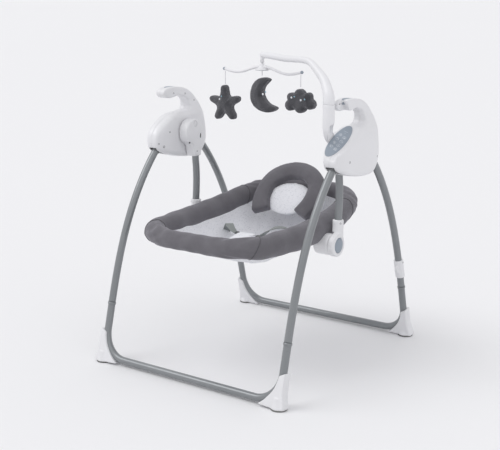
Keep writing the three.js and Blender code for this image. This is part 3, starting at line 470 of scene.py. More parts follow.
# hub housings: one outline, rounded over, split at the parting line and hollowed
hub = {
    "middle": 318, "axle": 660, "depth": 58, "wall": 2.6, "seam": 0.35, "voxel": 2.8, "rounds": 9,
    "bodyRounds": 34, "swell": 0.9,
    "hookNarrow": 0.62, "hookFrom": 52, "hookTo": 96,      # the hook is slimmer than the body
    "endNarrow": (0.74, 0.6),     # front and back end of the body
    "legPivot": (82, 642), "slotHalf": 13.4, "slotWidth": 27.4, "slotOpen": 50.4, "slotShut": 13,
    # out, half sizes, depth
    "facet": ((0.36, -0.56, 0.744), 34, 70, 50), "shoulder": ((-0.62, -0.42, 0.66), 40, 60, 40),
    "facetAt": (313, -74, 686), "shoulderAt": (297, -92, 690),
    "axleHole": (3, 660, 15), "button": (-40, 54, 19),
    "buttonGap": 0.7, "buttonFrom": 787.4, "holeFrom": 787, "holeTo": 830, "slotReach": 115,
}
hubCurves = [
    ((-6, 62), (24, 62), (34, 68), (34, 78)), ((34, 78), (34, 100), (14, 115), (-18, 116)),
    ((-18, 116), (-38, 112), (-56, 107), (-72, 111)), ((-72, 111), (-92, 116), (-92, 130), (-80, 136)),
    ((-80, 136), (-58, 146), (-20, 142), (7, 137)), ((7, 137), (64, 122), (108, 66), (118, -2)),
    ((118, -2), (123, -40), (114, -58), (80, -78)), ((80, -78), (40, -88), (-40, -78), (-90, -60)),
    ((-90, -60), (-128, -50), (-136, -42), (-132, -5)), ((-132, -5), (-128, 22), (-60, 62), (-6, 62)),
]


def facetBlock(name):
    out, across, along, deep = hub[name]
    bm = bmesh.new()
    turn = Vector((0, 0, 1)).rotation_difference(Vector(out)).to_matrix().to_4x4()
    bmesh.ops.create_cube(bm, size=2, matrix=Matrix.Translation(mm(*hub[name + "At"])) @ turn
                          @ Matrix.Translation(mm(0, 0, deep)) @ Matrix.Diagonal((across / 1000,
                                                                                  along / 1000, deep / 1000,
                                                                                  1)))
    return bm


def hubSolid(panelled):
    outline = []
    for corners in hubCurves:
        outline += bezier(*[Vector(corner) for corner in corners], 9)
    outline = [(y / 1000, (z + hub["axle"]) / 1000) for y, z in outline]
    body = slab(outline, hub["middle"] / 1000, hub["depth"] / 1000)
    blocks = [facetBlock("shoulder")] + ([facetBlock("facet")] if panelled else [])
    body = cutAway(body, blocks)
    body = fuse([body], hub["voxel"] / 1000, hub["rounds"], hub["swell"] / 1000)
    for turn in range(hub["bodyRounds"]):        # the broad body is rounded more than the slim hook
        top = (hub["axle"] + 84 - 1.6 * turn) / 1000
        bmesh.ops.smooth_vert(body, verts=[v for v in body.verts if v.co.z < top], factor=0.5,
                              use_axis_x=True,
                              use_axis_y=True, use_axis_z=True)
    middle = hub["middle"] / 1000
    for vert in body.verts:
        rise = (vert.co.z * 1000 - hub["axle"] - hub["hookFrom"]) / (hub["hookTo"] - hub["hookFrom"])
        slim = 1 - (1 - hub["hookNarrow"]) * min(max(rise, 0), 1)
        slim *= 1 - (1 - hub["endNarrow"][vert.co.y > 0]) * min(abs(vert.co.y / 0.132), 1) ** 3
        vert.co.x = middle + (vert.co.x - middle) * slim
    return body


def hookInsert(body):
    y, length, width = hub["button"]
    gap = 2 * hub["buttonGap"]
    prism = toObject("prism", oval(length - gap, width - gap, hub["buttonFrom"], hub["holeTo"], y), [])
    top = bakeModifiers(body.copy(), ("BOOLEAN",
                                      {"object": prism, "operation": "INTERSECT", "solver": "EXACT"}))
    bpy.data.objects.remove(prism)
    return top


def hubHalf(body, outer):
    half = body.copy()
    way = 1 if outer else -1
    bmesh.ops.bisect_plane(half, geom=half.verts[:] + half.edges[:] + half.faces[:],
                           plane_co=((hub["middle"] + way * hub["seam"] / 2) / 1000, 0, 0),
                           plane_no=(way, 0, 0), clear_inner=True)
    return bakeModifiers(half, ("SOLIDIFY", {"thickness": hub["wall"] / 1000, "offset": -1}))


def legSlots():
    y, z = hub["legPivot"]
    wide, half = math.radians(hub["slotOpen"]), hub["slotHalf"]
    shut, reach = math.radians(hub["slotShut"]), hub["slotReach"]

    def spot(angle, along, across):
        return (y + along * math.sin(angle) + across * math.cos(angle),
                z - along * math.cos(angle) + across * math.sin(angle))
    outline = [spot(wide, 20, half), spot(shut, 20, -half), spot(shut, reach, -half),
               spot(shut, reach + 12, half),
               spot(wide, reach, half)]
    slots = []
    for side in (1, -1):
        slots.append(slab([(side * a / 1000, b / 1000) for a, b in outline], hub["middle"] / 1000,
                          hub["slotWidth"] / 1000))
    return slots


def oval(length, width, low, high, y):
    bm = bmesh.new()
    bmesh.ops.create_cone(bm, cap_ends=True, segments=56, radius1=0.5, radius2=0.5, depth=1,
                          matrix=Matrix.Translation(mm(hub["middle"], y, (low + high) / 2))
                          @ Matrix.Diagonal((width / 1000, length / 1000, (high - low) / 1000, 1)))
    return bm


def makeHubs():
    for end, side in sides.items():
        body = hubSolid(panelled=side > 0)
        settle(toObject("foldButton" + end, onSide(hookInsert(body), side), greyPlastic),
               "fold_button_" + tail[end],
               "grey_plastic", "fold_button_" + tail[end])
        for outer in (True, False):
            half = hubHalf(body, outer)
            y, length, width = hub["button"]
            tools = legSlots() + [oval(length, width, hub["holeFrom"], hub["holeTo"], y)]
            if not outer:
                holeY, holeZ, radius = hub["axleHole"]
                tools.append(drum(radius / 1000, 0.25, 0.32, holeY / 1000, holeZ / 1000))
            half = cutAway(half, tools)
            half = onSide(half, side)
            kind = "Outer" if outer else "Inner"
            piece = toObject("hub" + kind + end, half, whitePlastic)
            settle(piece, "hubs", "white_plastic", "hub_" + kind.lower() + "_" + tail[end])
        body.free()


makeHubs()
print("hubs ready")

# buttons, control panel, screws and the small things on the hubs
panel = {"at": (313, -74, 686), "along": (0.11, 0.82, 0.56), "out": (0.36, -0.56, 0.744), "length": 128,
         "width": 42,
         "thick": 3.6, "rim": 2.6, "icons": 0.35}


def panelPlace():
    along = Vector(panel["along"]).normalized()
    out = Vector(panel["out"])
    out = (out - along * out.dot(along)).normalized()
    across = along.cross(out)
    return Matrix.Translation(mm(*panel["at"])) @ Matrix((across, along, out)).transposed().to_4x4()


def panelDisc(grow, low, high, rounding=0.0):
    bm = bmesh.new()
    size = Matrix.Diagonal(((panel["width"] / 2 + grow) / 1000, (panel["length"] / 2 + grow) / 1000, 1, 1))
    bmesh.ops.create_cone(bm, cap_ends=True, segments=88, radius1=1, radius2=1, depth=(high - low) / 1000,
                          matrix=Matrix.Translation((0, 0, (high + low) / 2000)))
    bmesh.ops.transform(bm, matrix=size, verts=bm.verts)
    if rounding:
        rim = [e for e in bm.edges if all(v.co.z > (high - 0.05) / 1000 for v in e.verts)]
        bmesh.ops.bevel(bm, geom=rim, offset=rounding / 1000, affect="EDGES", segments=4, profile=0.5,
                        material=-1)
    return bm


def iconBar(x, y, length, angle, wide=0.9):
    bm = bmesh.new()
    bmesh.ops.create_cone(bm, cap_ends=True, segments=10, radius1=0.5, radius2=0.5, depth=1)
    bmesh.ops.transform(bm, matrix=Matrix.Translation(mm(x, y, 0)) @ Matrix.Rotation(math.radians(angle), 4,
                                                                                     "Z")
                        @ Matrix.Diagonal((length / 1000, wide / 1000, panel["icons"] / 1000, 1)),
                        verts=bm.verts)
    return bm


def iconRing(x, y, radius, wide=0.8, share=1.0, start=0.0):
    bm = bmesh.new()
    low, high = -panel["icons"] / 2, panel["icons"] / 2
    line = [bm.verts.new(mm(r, 0, h)) for r, h in ((radius - wide, low), (radius, low), (radius, high),
                                                   (radius - wide, high))]
    edges = [bm.edges.new((line[i], line[(i + 1) % 4])) for i in range(4)]
    bmesh.ops.rotate(bm, verts=line, matrix=Matrix.Rotation(math.radians(start), 3, "Z"))
    bmesh.ops.spin(bm, geom=line + edges, cent=(0, 0, 0), axis=(0, 0, 1), angle=2 * math.pi * share,
                   steps=max(8, round(32 * share)), use_merge=share == 1)
    if share < 1:
        bmesh.ops.holes_fill(bm, edges=bm.edges, sides=4)
    bmesh.ops.recalc_face_normals(bm, faces=bm.faces)
    bmesh.ops.translate(bm, vec=mm(x, y, 0), verts=bm.verts)
    return bm


def panelIcons():
    left, right, parts = 7.6, -7.0, []
    for x, y, size in ((left, -31, 3.4), (left, -15, 3.4), (left, 1, 3.4), (left, 17, 3.4),
                       (right, -27, 3.0), (right, -11, 3.0), (right, 5, 3.0), (right, 21, 3.0)):
        parts.append(iconRing(x, y, size + 1.6, 0.5))
    parts += [iconRing(left, -31, 2.6, 0.8, 0.82, 110), iconBar(left, -29, 3, 90)]                # on and off
    parts += [iconBar(left, -15, 4.6, 0), iconBar(left, -15, 4.6, 90)]                             # more
    parts += [iconBar(left, 1, 4.6, 0)]                                                            # less
    parts += [iconRing(left, 17, 2.4, 0.9, 0.55, 200), iconRing(left, 17, 1.0, 0.5)]               # timer
    parts += [iconBar(right - 1.4, -27, 3.2, 90), iconBar(right + 1.2, -26.5, 3.6, 75),
              iconRing(right - 2, -28.6, 1.1, 0.7)]
    # speed steps
    parts += [iconBar(right, -11 + 1.4 * i, 4.4 - 0.9 * abs(i), 0) for i in (-1, 0, 1)]
    parts += [iconRing(right, 5, 1.2 + 1.0 * i, 0.5, 0.3, 36) for i in range(3)]                   # sound
    parts += [iconRing(right, 21, 2.2, 0.8)]
    parts.append(iconRing(0, 33, 0.9, 0.5))
    parts += [iconRing(-4.5 + 3 * i, 38, 0.7, 0.5) for i in range(4)]
    return joined(parts)


def screw(place, way, radius=2.6):
    bm = turned([(0, -1.2 / 1000), (radius * 0.62 / 1000, -1.2 / 1000), (radius * 0.7 / 1000, 0.1 / 1000),
                 (radius / 1000, 0.35 / 1000), (radius * 1.12 / 1000, -0.6 / 1000),
                 (radius * 1.1 / 1000, -2.5 / 1000),
                 (0, -2.5 / 1000)], (0, 0, 0), steps=20)
    turn = Vector((0, 0, 1)).rotation_difference(Vector(way)).to_matrix().to_4x4()
    bmesh.ops.transform(bm, matrix=Matrix.Translation(place) @ turn, verts=bm.verts)
    return bm


def onSkin(name, place, way):
    skinPiece = bpy.data.objects[name]
    way = Vector(way).normalized()
    found, spot, normal, _ = skinPiece.ray_cast(Vector(place) + way * 0.06, -way, distance=0.12)
    return (spot, normal) if found else (Vector(place), way)


def makeScrews():
    bpy.context.view_layer.update()
    inner = [(-44, 783, 2.4), (12, 778, 2.4), (56, 754, 2.4), (-77, 666, 2.6), (-124, 634, 2.4),
             (-104, 623, 3.6)]
    outer = [(-68, 630, 2.8), (98, 626, 2.6)]
    for end, side in sides.items():
        parts = []
        for kind, spots, way in (("Inner", inner, -side), ("Outer", outer, side)):
            for y, z, radius in spots:
                x = hub["middle"] + (way * side) * hub["depth"] / 2
                spot, normal = onSkin("hub" + kind + end, mm(side * x, y, z), (way, 0, 0))
                parts.append(screw(spot, normal, radius))
        settle(toObject("hubScrews" + end, joined(parts), darkPlastic), "hubs", "dark_plastic")


def makeHubTrim():
    place = panelPlace()
    base = panelDisc(0, -1, panel["thick"], 1.6)
    bmesh.ops.transform(base, matrix=place, verts=base.verts)
    settle(toObject("controlPanel", base, greyPlastic), "hubs", "grey_plastic", "control_panel")
    rim = panelDisc(panel["rim"], -9, panel["thick"] - 1.5, 1.8)
    rim = cutAway(rim, [panelDisc(0.25, -1.2, 12)])
    bmesh.ops.transform(rim, matrix=place, verts=rim.verts)
    settle(toObject("panelRim", rim, whitePlastic), "hubs", "white_plastic")
    icons = panelIcons()
    bmesh.ops.transform(icons, matrix=place @ Matrix.Translation(mm(0, 0,
                                                                    panel["thick"] + panel["icons"] / 2 - 0.08)),
                        verts=icons.verts)
    settle(toObject("panelIcons", icons, iconPrint), "hubs", "white_plastic")


makeHubTrim()
makeScrews()
print("hub trim ready")

# steel frame
leg = {"pivot": (82, 642), "seam": (329, 175), "foot": (370, 16), "splay": 47, "bow": 190, "thick": 11,
       "corner": 80,
       "collarThick": 12.2, "collarLip": 12.5, "collar": (13, 50), "x": 318,
       "eye": (17, 306, 330, 2),                          # hinge eye: radius, from, to, rounding
       # lengths before the seam
       "clip": (98, 34), "clipThick": 14.6, "clipLug": (72, 60), "floorTo": 220}


def legLine():
    top, seam, foot = (mm(leg["x"], *leg[k]) for k in ("pivot", "seam", "foot"))
    lean = math.radians(leg["splay"])
    topWay = Vector((0, math.sin(lean), -math.cos(lean)))
    seamWay = (foot - seam).normalized()
    bow = leg["bow"] / 1000
    line = bezier(top, top + topWay * bow, seam - seamWay * bow, seam, 60) + [seam]
    return evenly(line, 0.006), seamWay


def stretch(line, fromLength, toLength):
    kept, run = [], 0
    for a, b in zip(line, line[1:]):
        if fromLength <= run * 1000 <= toLength:
            kept.append(a)
        run += (b - a).length
    return kept


def toEnd(bm, side, end):
    if side < 0:
        bm = mirrorX(bm)
    if end < 0:
        bmesh.ops.scale(bm, vec=(1, -1, 1), verts=bm.verts)
        bmesh.ops.reverse_faces(bm, faces=bm.faces)
    return bm


def cornerLine(seamWay):
    corner = mm(leg["x"], *leg["foot"])
    reach = leg["corner"] / 1000
    start, stop = corner - seamWay * reach, corner - Vector((reach, 0, 0))
    return bezier(start, start + seamWay * reach * 0.552, stop + Vector((reach * 0.552, 0, 0)), stop,
                  24) + [stop]


foot = {"wall": 3, "padThick": 23, "voxel": 2.0, "rounds": 12, "swell": 0.5}


def footShell(seamWay):
    reach = 14.5
    outline = [(-reach, 84), (-reach, 50)]
    outline += [(p.x, p.y) for p in bezier(Vector((-reach, 44)), Vector((-reach, 22)), Vector((-19, 4)),
                                           Vector((-24, -10)), 8)]
    outline += [(-24, -14), (34, -14), (58, -12)]
    outline += [(p.x, p.y) for p in bezier(Vector((58, -10)), Vector((44, -2)), Vector((36, 8)),
                                           Vector((28, 18)), 6)]
    outline += [(p.x, p.y) for p in bezier(Vector((28, 18)), Vector((12, 36)), Vector((5, 56)),
                                           Vector((3, 84)), 8)]
    plate = slab([(a / 1000, b / 1000) for a, b in outline], 0, 0.031)
    up, inward = -seamWay, Vector((-1, 0, 0))
    across = inward.cross(up)
    corner = mm(leg["x"], *leg["foot"])
    place = Matrix.Translation(corner) @ Matrix((inward, up, across)).transposed().to_4x4()
    standing = Matrix(((0, 1, 0, 0), (0, 0, 1, 0), (1, 0, 0, 0), (0, 0, 0, 1)))
    bmesh.ops.transform(plate, matrix=place @ standing, verts=plate.verts)
    bmesh.ops.recalc_face_normals(plate, faces=plate.faces)
    pad = turned([(0, 0.003), (0.0226, 0.003), (0.0224, 0.007), (0.0185, 0.016), (0.0160, 0.026),
                  (0.0150, 0.034), (0, 0.034)],
                 (corner.x, corner.y, 0), steps=36)
    body = fuse([plate, pad], foot["voxel"] / 1000, foot["rounds"], foot["swell"] / 1000)
    bmesh.ops.bisect_plane(body, geom=body.verts[:] + body.edges[:] + body.faces[:], plane_co=(0, 0, 0.0034),
                           plane_no=(0, 0, -1), clear_outer=True)
    bmesh.ops.holes_fill(body, edges=[e for e in body.edges if e.is_boundary], sides=0)
    return body


def makeFrame():
    line, seamWay = legLine()
    seam = mm(leg["x"], *leg["seam"])
    corner = cornerLine(seamWay)
    for frameEnd, back in (("rear", 1), ("front", -1)):
        body = frameEnd + "_frame"
        for end, side in sides.items():
            label = frameEnd.capitalize() + end
            ends = frameEnd + "_leg_" + tail[end]
            upper = sweep(stretch(line, leg["collar"][0] + 6, 1e3) + [seam], leg["thick"] / 1000, 9)
            settle(toObject("leg" + label, toEnd(upper, side, back), tubePaint), body, "painted_tube", ends)
            collar = sweep(stretch(line, *leg["collar"]),
                           lambda t: leg["collarLip" if t > 0.97 else "collarThick"] / 1000, 9)
            thick, inner, outer, rounding = [size / 1000 for size in leg["eye"]]
            eye = drum(thick, inner, outer, *[place / 1000 for place in leg["pivot"]], rounding)
            settle(toObject("legCollar" + label, toEnd(joined([collar, eye]), side, back), collarGrey),
                   body, "dark_plastic",
                   frameEnd + "_leg_hinge_" + tail[end])
            ring = turned([(0.0112, -0.0035), (0.0122, -0.0032), (0.0122, 0.0032), (0.0112, 0.0035)],
                          (0, 0, 0), steps=40)
            turn = Vector((0, 0, 1)).rotation_difference(seamWay).to_matrix().to_4x4()
            bmesh.ops.transform(ring, matrix=Matrix.Translation(seam + seamWay * 0.003) @ turn,
                                verts=ring.verts)
            settle(toObject("legJoint" + label, toEnd(ring, side, back), tubePaint), body, "painted_tube")
            shell = footShell(seamWay)
            settle(toObject("foot" + label, toEnd(shell, side, back), whitePlastic), body, "white_plastic",
                   frameEnd + "_foot_" + tail[end])
            sole = turned([(0, 0.0), (0.0222, 0.0), (0.0232, 0.001), (0.0232, 0.0034), (0.0222, 0.0044),
                           (0, 0.0044)],
                          (leg["x"] / 1000, leg["foot"][0] / 1000, 0), steps=40)
            settle(toObject("footSole" + label, toEnd(sole, side, back), rubber), body, "dark_plastic")
        half = [seam.lerp(corner[0], i / 12) for i in range(12)] + corner
        whole = half + [Vector((x / 1000, half[-1].y, half[-1].z)) for x in range(leg["floorTo"],
                                                                                  -leg["floorTo"] - 1, -20)]
        whole += [Vector((-p.x, p.y, p.z)) for p in reversed(half)]
        bar = sweep(whole, leg["thick"] / 1000, 9)
        settle(toObject("floorTube" + frameEnd.capitalize(), toEnd(bar, 1, back), tubePaint), body,
               "painted_tube",
               frameEnd + "_floor_tube")
    total = sum((b - a).length for a, b in zip(line, line[1:])) * 1000
    clip = sweep(stretch(line, *[total - before for before in leg["clip"]]), leg["clipThick"] / 1000, 9)
    middle = stretch(line, *[total - before for before in leg["clipLug"]])[0]
    lug = drum(0.010, leg["x"] / 1000 - 0.005, leg["x"] / 1000 + 0.005, middle.y - 0.014, middle.z, 0.002)
    bmesh.ops.scale(lug, vec=(1, 1, 1.5), space=Matrix.Translation(-Vector((0, 0, middle.z))),
                    verts=lug.verts)
    whole = fuse([clip, lug], 0.0016, 8, 0.0004)
    settle(toObject("legClip", whole, whitePlastic), "rear_frame", "white_plastic", "leg_clip")
    bpy.context.view_layer.update()
    spot, normal = onSkin("legClip", middle + Vector((0, 0, 0.02)), (1, -0.35, 0.1))
    settle(toObject("clipScrew", screw(spot, normal, 2.6), darkPlastic), "rear_frame", "dark_plastic")


makeFrame()
print("frame ready")

# swinging arms
arm = {"x": 264, "y": 16, "thick": 11, "coverFrom": 250.5, "coverTo": 285.6, "coverRadius": 41,
       "coverAt": (3, 660),
       "voxel": 1.9, "rounds": 22, "swell": 1.0, "drumAt": (-8, 372), "drumRadius": 33,
       "drum": (262.4, 281.6),
       "buttonRadius": 22.4, "buttonGap": 0.9, "pocketDeep": 11.2, "socketThick": 15.8, "tubeRoom": 11.3,
       "socket": [(264, 16, 443), (264, 15.5, 420), (266, 12, 404), (269, 6, 390)],
       # the last entry places the cover's oval recess and the dark oval of painted shade sunk in it
       "axleHole": 7.6, "bossAt": (3, 687), "bossHole": 9.2, "boss": 7.8, "recessShade": (28, 647)}


def arcLine(y, z, radius, fromAngle, toAngle, count):
    angles = [math.radians(fromAngle + (toAngle - fromAngle) * i / count) for i in range(count + 1)]
    return [(y + radius * math.cos(a), z + radius * math.sin(a)) for a in angles]


def armCover():
    y, z = arm["coverAt"]
    outline = arcLine(y, z, arm["coverRadius"], -30, 220, 42)
    left = bezier(Vector(outline[-1]), Vector((-20, z - 34)), Vector((-9, z - 36)), Vector((-6, z - 48)), 7)
    outline += [(p.x, p.y) for p in left[1:]] + [(-6, z - 48), (-2, z - 76), (32, z - 76)]
    right = bezier(Vector((32, z - 76)), Vector((33, z - 52)), Vector((34, z - 34)), Vector(outline[0]), 8)
    outline += [(p.x, p.y) for p in right[1:]]
    low, high = arm["coverFrom"] / 1000, arm["coverTo"] / 1000
    body = slab([(a / 1000, b / 1000) for a, b in outline], (low + high) / 2, high - low)
    body = fuse([body], arm["voxel"] / 1000, arm["rounds"], arm["swell"] / 1000)
    for vert in body.verts:                      # domed towards the seat
        share = (vert.co.x - low) / (high - low)
        reach = Vector((vert.co.y * 1000 - y, max(vert.co.z * 1000 - z, -24))).length / arm["coverRadius"]
        vert.co.x += 0.004 * (1 - share) * min(reach, 1.1) ** 2
    bossY, bossZ = [place / 1000 for place in arm["bossAt"]]
    holes = [drum(arm["axleHole"] / 1000, 0.262, 0.30, y / 1000, z / 1000),
             drum(arm["bossHole"] / 1000, 0.24, low + 0.0034, bossY, bossZ, facets=36),
             ellipsoid(mm(arm["coverFrom"] - 1, *arm["recessShade"]), mm(4.6, 4.8, 10.5))]
    body = cutAway(body, holes)
    boss = drum(arm["boss"] / 1000, low + 0.0012, low + 0.012, bossY, bossZ, 0.0016, 40)
    return joined([body, boss])


def armTube():
    y, z = arm["y"], arm["coverAt"][1]
    line = [mm(arm["x"], y, z - 42), mm(arm["x"], y, z - 84), mm(arm["x"], y + 2.7, z - 112),
            mm(arm["x"], y + 4, z - 146),
            mm(arm["x"], y + 2.7, z - 182), mm(arm["x"], y, z - 215), mm(arm["x"], y, z - 238)]
    return sweep(evenly(throughPoints(line, 60), 0.006), arm["thick"] / 1000, 9)


def knuckle():
    y, z = arm["drumAt"]
    low, high = arm["drum"]
    body = drum(arm["drumRadius"] / 1000, low / 1000, high / 1000, y / 1000, z / 1000)
    line = [mm(*place) for place in arm["socket"]]
    socket = sweep(evenly(throughPoints(line, 30), 0.004), arm["socketThick"] / 1000, 9)
    body = fuse([body, socket], 0.0017, 9, 0.0006)
    keep = [v for v in body.verts if v.co.x < low / 1000 and v.co.z < 0.408]
    for vert in keep:
        vert.co.x = low / 1000
    pocket = drum((arm["buttonRadius"] + arm["buttonGap"]) / 1000, (high - arm["pocketDeep"]) / 1000,
                  high / 1000 + 0.02, y / 1000, z / 1000)
    tube = sweep([mm(arm["x"], arm["y"], 422), mm(arm["x"], arm["y"], 470)], arm["tubeRoom"] / 1000, 9)
    return cutAway(body, [pocket, tube])


def makeArms():
    for end, side in sides.items():
        settle(toObject("armCover" + end, onSide(armCover(), side), whitePlastic), "arms", "white_plastic",
               "arm_cover_" + tail[end])
        settle(toObject("armTube" + end, onSide(armTube(), side), tubePaint), "arms", "painted_tube",
               "arm_tube_" + tail[end])
        settle(toObject("armKnuckle" + end, onSide(knuckle(), side), whitePlastic), "arms", "white_plastic",
               "arm_knuckle_" + tail[end])
        bpy.context.view_layer.update()
        y, z = arm["drumAt"]
        face = arm["drum"][1] / 1000
        button = turned([(0, 0.0030), (0.010, 0.0028), (0.017, 0.0021), (0.0205, 0.0012), (0.0220, -0.0002),
                         (0.0224, -0.002),
                         (0.0224, -0.0072), (0, -0.0072)], (face, y / 1000, z / 1000), "X", 56)
        settle(toObject("reclineButton" + end, onSide(button, side), greyPlastic),
               "recline_button_" + tail[end],
               "grey_plastic", "recline_button_" + tail[end])
        parts = [screw(*onSkin("armKnuckle" + end, mm(side * 280, 7, 434), (side, 0, 0)), 2.3)]
        for place in ((-28, 630), (8, 599)):
            parts.append(screw(*onSkin("armCover" + end, mm(side * arm["coverFrom"], *place),
                                       (-side, 0, 0)), 2.4))
        settle(toObject("armScrews" + end, joined(parts), darkPlastic), "arms", "dark_plastic")
        # dark oval sunk into the cover's recess: painted shade that darkens the recess
        recessShade = ellipsoid(mm(arm["coverFrom"] + 3.4, *arm["recessShade"]), mm(1.6, 4.6, 10.3), Matrix(), 28)
        settle(toObject("coverPort" + end, onSide(recessShade, side), darkPlastic), "arms", "dark_plastic")


makeArms()
print("arms ready")

# seat: padded ring, sling, pillow and harness
seat = {
    "halfWidth": 206, "footY": -334, "headY": 300, "ringZ": 409, "rise": 65, "riseFrom": -100,
    "padRadius": 27, "sideFuller": 9.5, "headFuller": 3,
    "padVoxel": 5.5, "padRounds": 3, "padPressure": 4.0, "padCap": 5,
    "slingDepth": 112, "slingFullness": (2.3, 3.4), "slingMiddle": 20, "slingReach": 24, "slingThick": 2.4,
}


def ringHeight(y):
    span = seat["headY"] + 30 - seat["riseFrom"]
    return seat["ringZ"] - 4 + seat["rise"] * max(0, (y - seat["riseFrom"]) / span) ** 1.6


def ringLine(inset, count=240):
    w, foot, head = seat["halfWidth"] - inset, seat["footY"] + inset, seat["headY"] - inset
    half = [(0, foot), (w * 0.45, foot + 3), (w * 0.75, foot + 30), (w * 0.92, foot + 68),
            (w * 0.97, foot + 150), (w, -120),
            (w, -8), (w * 0.97, 90), (w * 0.9, 185), (w * 0.76, head - 48), (w * 0.45, head - 10), (0, head)]
    whole = half + [(-x, y) for x, y in half[-2:0:-1]]
    return throughPoints([mm(x, y, ringHeight(y)) for x, y in whole], count, closed=True)


def inflate(piece, pressure, cap, stiffness=12.0):
    rest = [v.co.copy() for v in piece.data.vertices]
    cloth = piece.modifiers.new("stuffing", "CLOTH")
    cloth.settings.use_pressure = True
    cloth.settings.uniform_pressure_force = pressure
    cloth.settings.effector_weights.gravity = 0
    cloth.settings.tension_stiffness = cloth.settings.compression_stiffness = stiffness
    cloth.settings.bending_stiffness = 0.6
    cloth.settings.quality = 5
    cloth.point_cache.frame_start, cloth.point_cache.frame_end = 1, 20
    for step in range(1, 21):
        scene.frame_set(step)
    puffed = [v.co.copy() for v in piece.evaluated_get(bpy.context.evaluated_depsgraph_get()).data.vertices]
    piece.modifiers.remove(cloth)
    scene.frame_set(1)
    for vert, old, new in zip(piece.data.vertices, rest, puffed):
        way = new - old
        vert.co = old + way * min(1, cap / 1000 / max(way.length, 1e-9))
    piece.data.update()


def finer(piece, levels=1):
    smoother = piece.modifiers.new("finer", "SUBSURF")
    smoother.levels = smoother.render_levels = levels


def wave(place, way, wide, count, phase=0.0):
    return math.sin(place.dot(Vector(way)) * count + phase) * wide


def pleat(vert, middle, way, spread, deep, count):
    reach = (vert.co - middle).length / spread
    if reach < 1:
        fade = (1 - reach * reach) ** 2
        vert.co += vert.normal * deep * fade * math.sin((vert.co - middle).dot(way) * count)


def makeRing():
    line = ringLine(0)

    def fuller(t):
        side, head = math.sin(2 * math.pi * t) ** 2, max(0, -math.cos(2 * math.pi * t))
        return (seat["padRadius"] + seat["sideFuller"] * side + seat["headFuller"] * head) / 1000
    pad = sweep(line, fuller, 9, closed=True)
    pad = bakeModifiers(pad, ("REMESH", {"mode": "VOXEL", "voxel_size": seat["padVoxel"] / 1000}),
                        ("SMOOTH", {"factor": 0.5, "iterations": seat["padRounds"]}))
    piece = toObject("ringPad", pad, velour)
    inflate(piece, seat["padPressure"], seat["padCap"])
    bm = bmesh.new()
    bm.from_mesh(piece.data)
    bm.normal_update()
    # soft folds at the foot corners and small ones along the sides
    for vert in bm.verts:
        for side in (1, -1):
            pleat(vert, mm(side * 140, -318, 424), Vector((side * 0.5, -0.45, 0.75)), 0.085, 0.0026, 330)
            pleat(vert, mm(side * 172, 226, 452), Vector((side * 0.3, 0.6, 0.75)), 0.07, 0.0016, 300)
        vert.co += vert.normal * (wave(vert.co, (0.3, 1, 0.2), 0.0007, 75) + wave(vert.co, (1, -0.4, 0.6),
                                                                                  0.0005, 120, 1.3))
    bm.to_mesh(piece.data)
    bm.free()
    finer(piece)
    settle(piece, "seat", "velour", "ring_pad")
    return piece


def rest(piece, points, lift):
    tree = piece.evaluated_get(bpy.context.evaluated_depsgraph_get())
    spots = []
    for place, way in points:
        found, spot, normal, _ = tree.ray_cast(place, way)
        if found:
            spots.append(spot + normal * lift)
    return spots


def ringLoop(middle, across, up, count):
    loop = []
    for i in range(count):
        a = 2 * math.pi * i / count
        way = across * math.cos(a) + up * math.sin(a)
        loop.append((middle + way * 0.09, -way))
    return loop


def makeSeams(pad):
    bpy.context.view_layer.update()
    line = ringLine(0)
    parts = []
    for index, lean in ((28, 0.5), (212, -0.5), (85, 0.3), (155, -0.3)):
        middle = line[index]
        way = (line[index + 1] - line[index - 1]).normalized()
        across = Vector((0, 0, 1)).cross(way).normalized()
        up = (Vector((0, 0, 1)) + way * lean).normalized()
        spots = rest(pad, ringLoop(middle, across, up, 72), 0.0002)
        parts.append(sweep(spots, 0.0014, 3, closed=True))
    settle(toObject("ringPiping", joined(parts), piping), "seat", "velour")


def makeSling():
    rim = ringLine(seat["slingReach"], 96)
    bm = bmesh.new()
    loop = [bm.verts.new(p) for p in rim]
    edges = [bm.edges.new((loop[i], loop[(i + 1) % len(loop)])) for i in range(len(loop))]
    steps, middle = 22, seat["slingMiddle"] / 1000
    for step in range(1, steps):
        share = 1 - step / steps
        grown = bmesh.ops.extrude_edge_only(bm, edges=edges)["geom"]
        edges = [e for e in grown if isinstance(e, bmesh.types.BMEdge)]
        ratio = share / (1 - (step - 1) / steps)
        for vert in [v for v in grown if isinstance(v, bmesh.types.BMVert)]:
            vert.co.x *= ratio
            vert.co.y = middle + (vert.co.y - middle) * ratio
            fall = seat["slingDepth"] * (1 - share ** seat["slingFullness"][vert.co.y > middle])
            vert.co.z = (ringHeight(vert.co.y * 1000) - fall) / 1000
    bmesh.ops.holes_fill(bm, edges=edges, sides=0)
    bmesh.ops.triangulate(bm, faces=[f for f in bm.faces if len(f.verts) > 4])
    for vert in bm.verts:                        # edges between seat, sides and back, and soft wrinkles
        x, y = vert.co.x * 1000, vert.co.y * 1000
        vert.co.z += 0.004 * math.exp(-((abs(x) - 95 - 0.1 * y) / 12) ** 2) * (1 if -250 < y < 220 else 0.3)
        wrinkle = wave(vert.co, (0.6, 1, 0), 0.0012, 95) * min(1, abs(x) / 60)
        vert.co.z += wrinkle + wave(vert.co, (1, 0.5, 0), 0.0007, 140, 0.7)
    bmesh.ops.recalc_face_normals(bm, faces=bm.faces)
    if sum(f.normal.z * f.calc_area() for f in bm.faces) < 0:
        bmesh.ops.reverse_faces(bm, faces=bm.faces)
    piece = toObject("slingLiner", bm, jersey)
    thick = piece.modifiers.new("thick", "SOLIDIFY")
    thick.thickness, thick.offset = seat["slingThick"] / 1000, -1
    finer(piece)
    settle(piece, "seat", "jersey", "seat_sling")


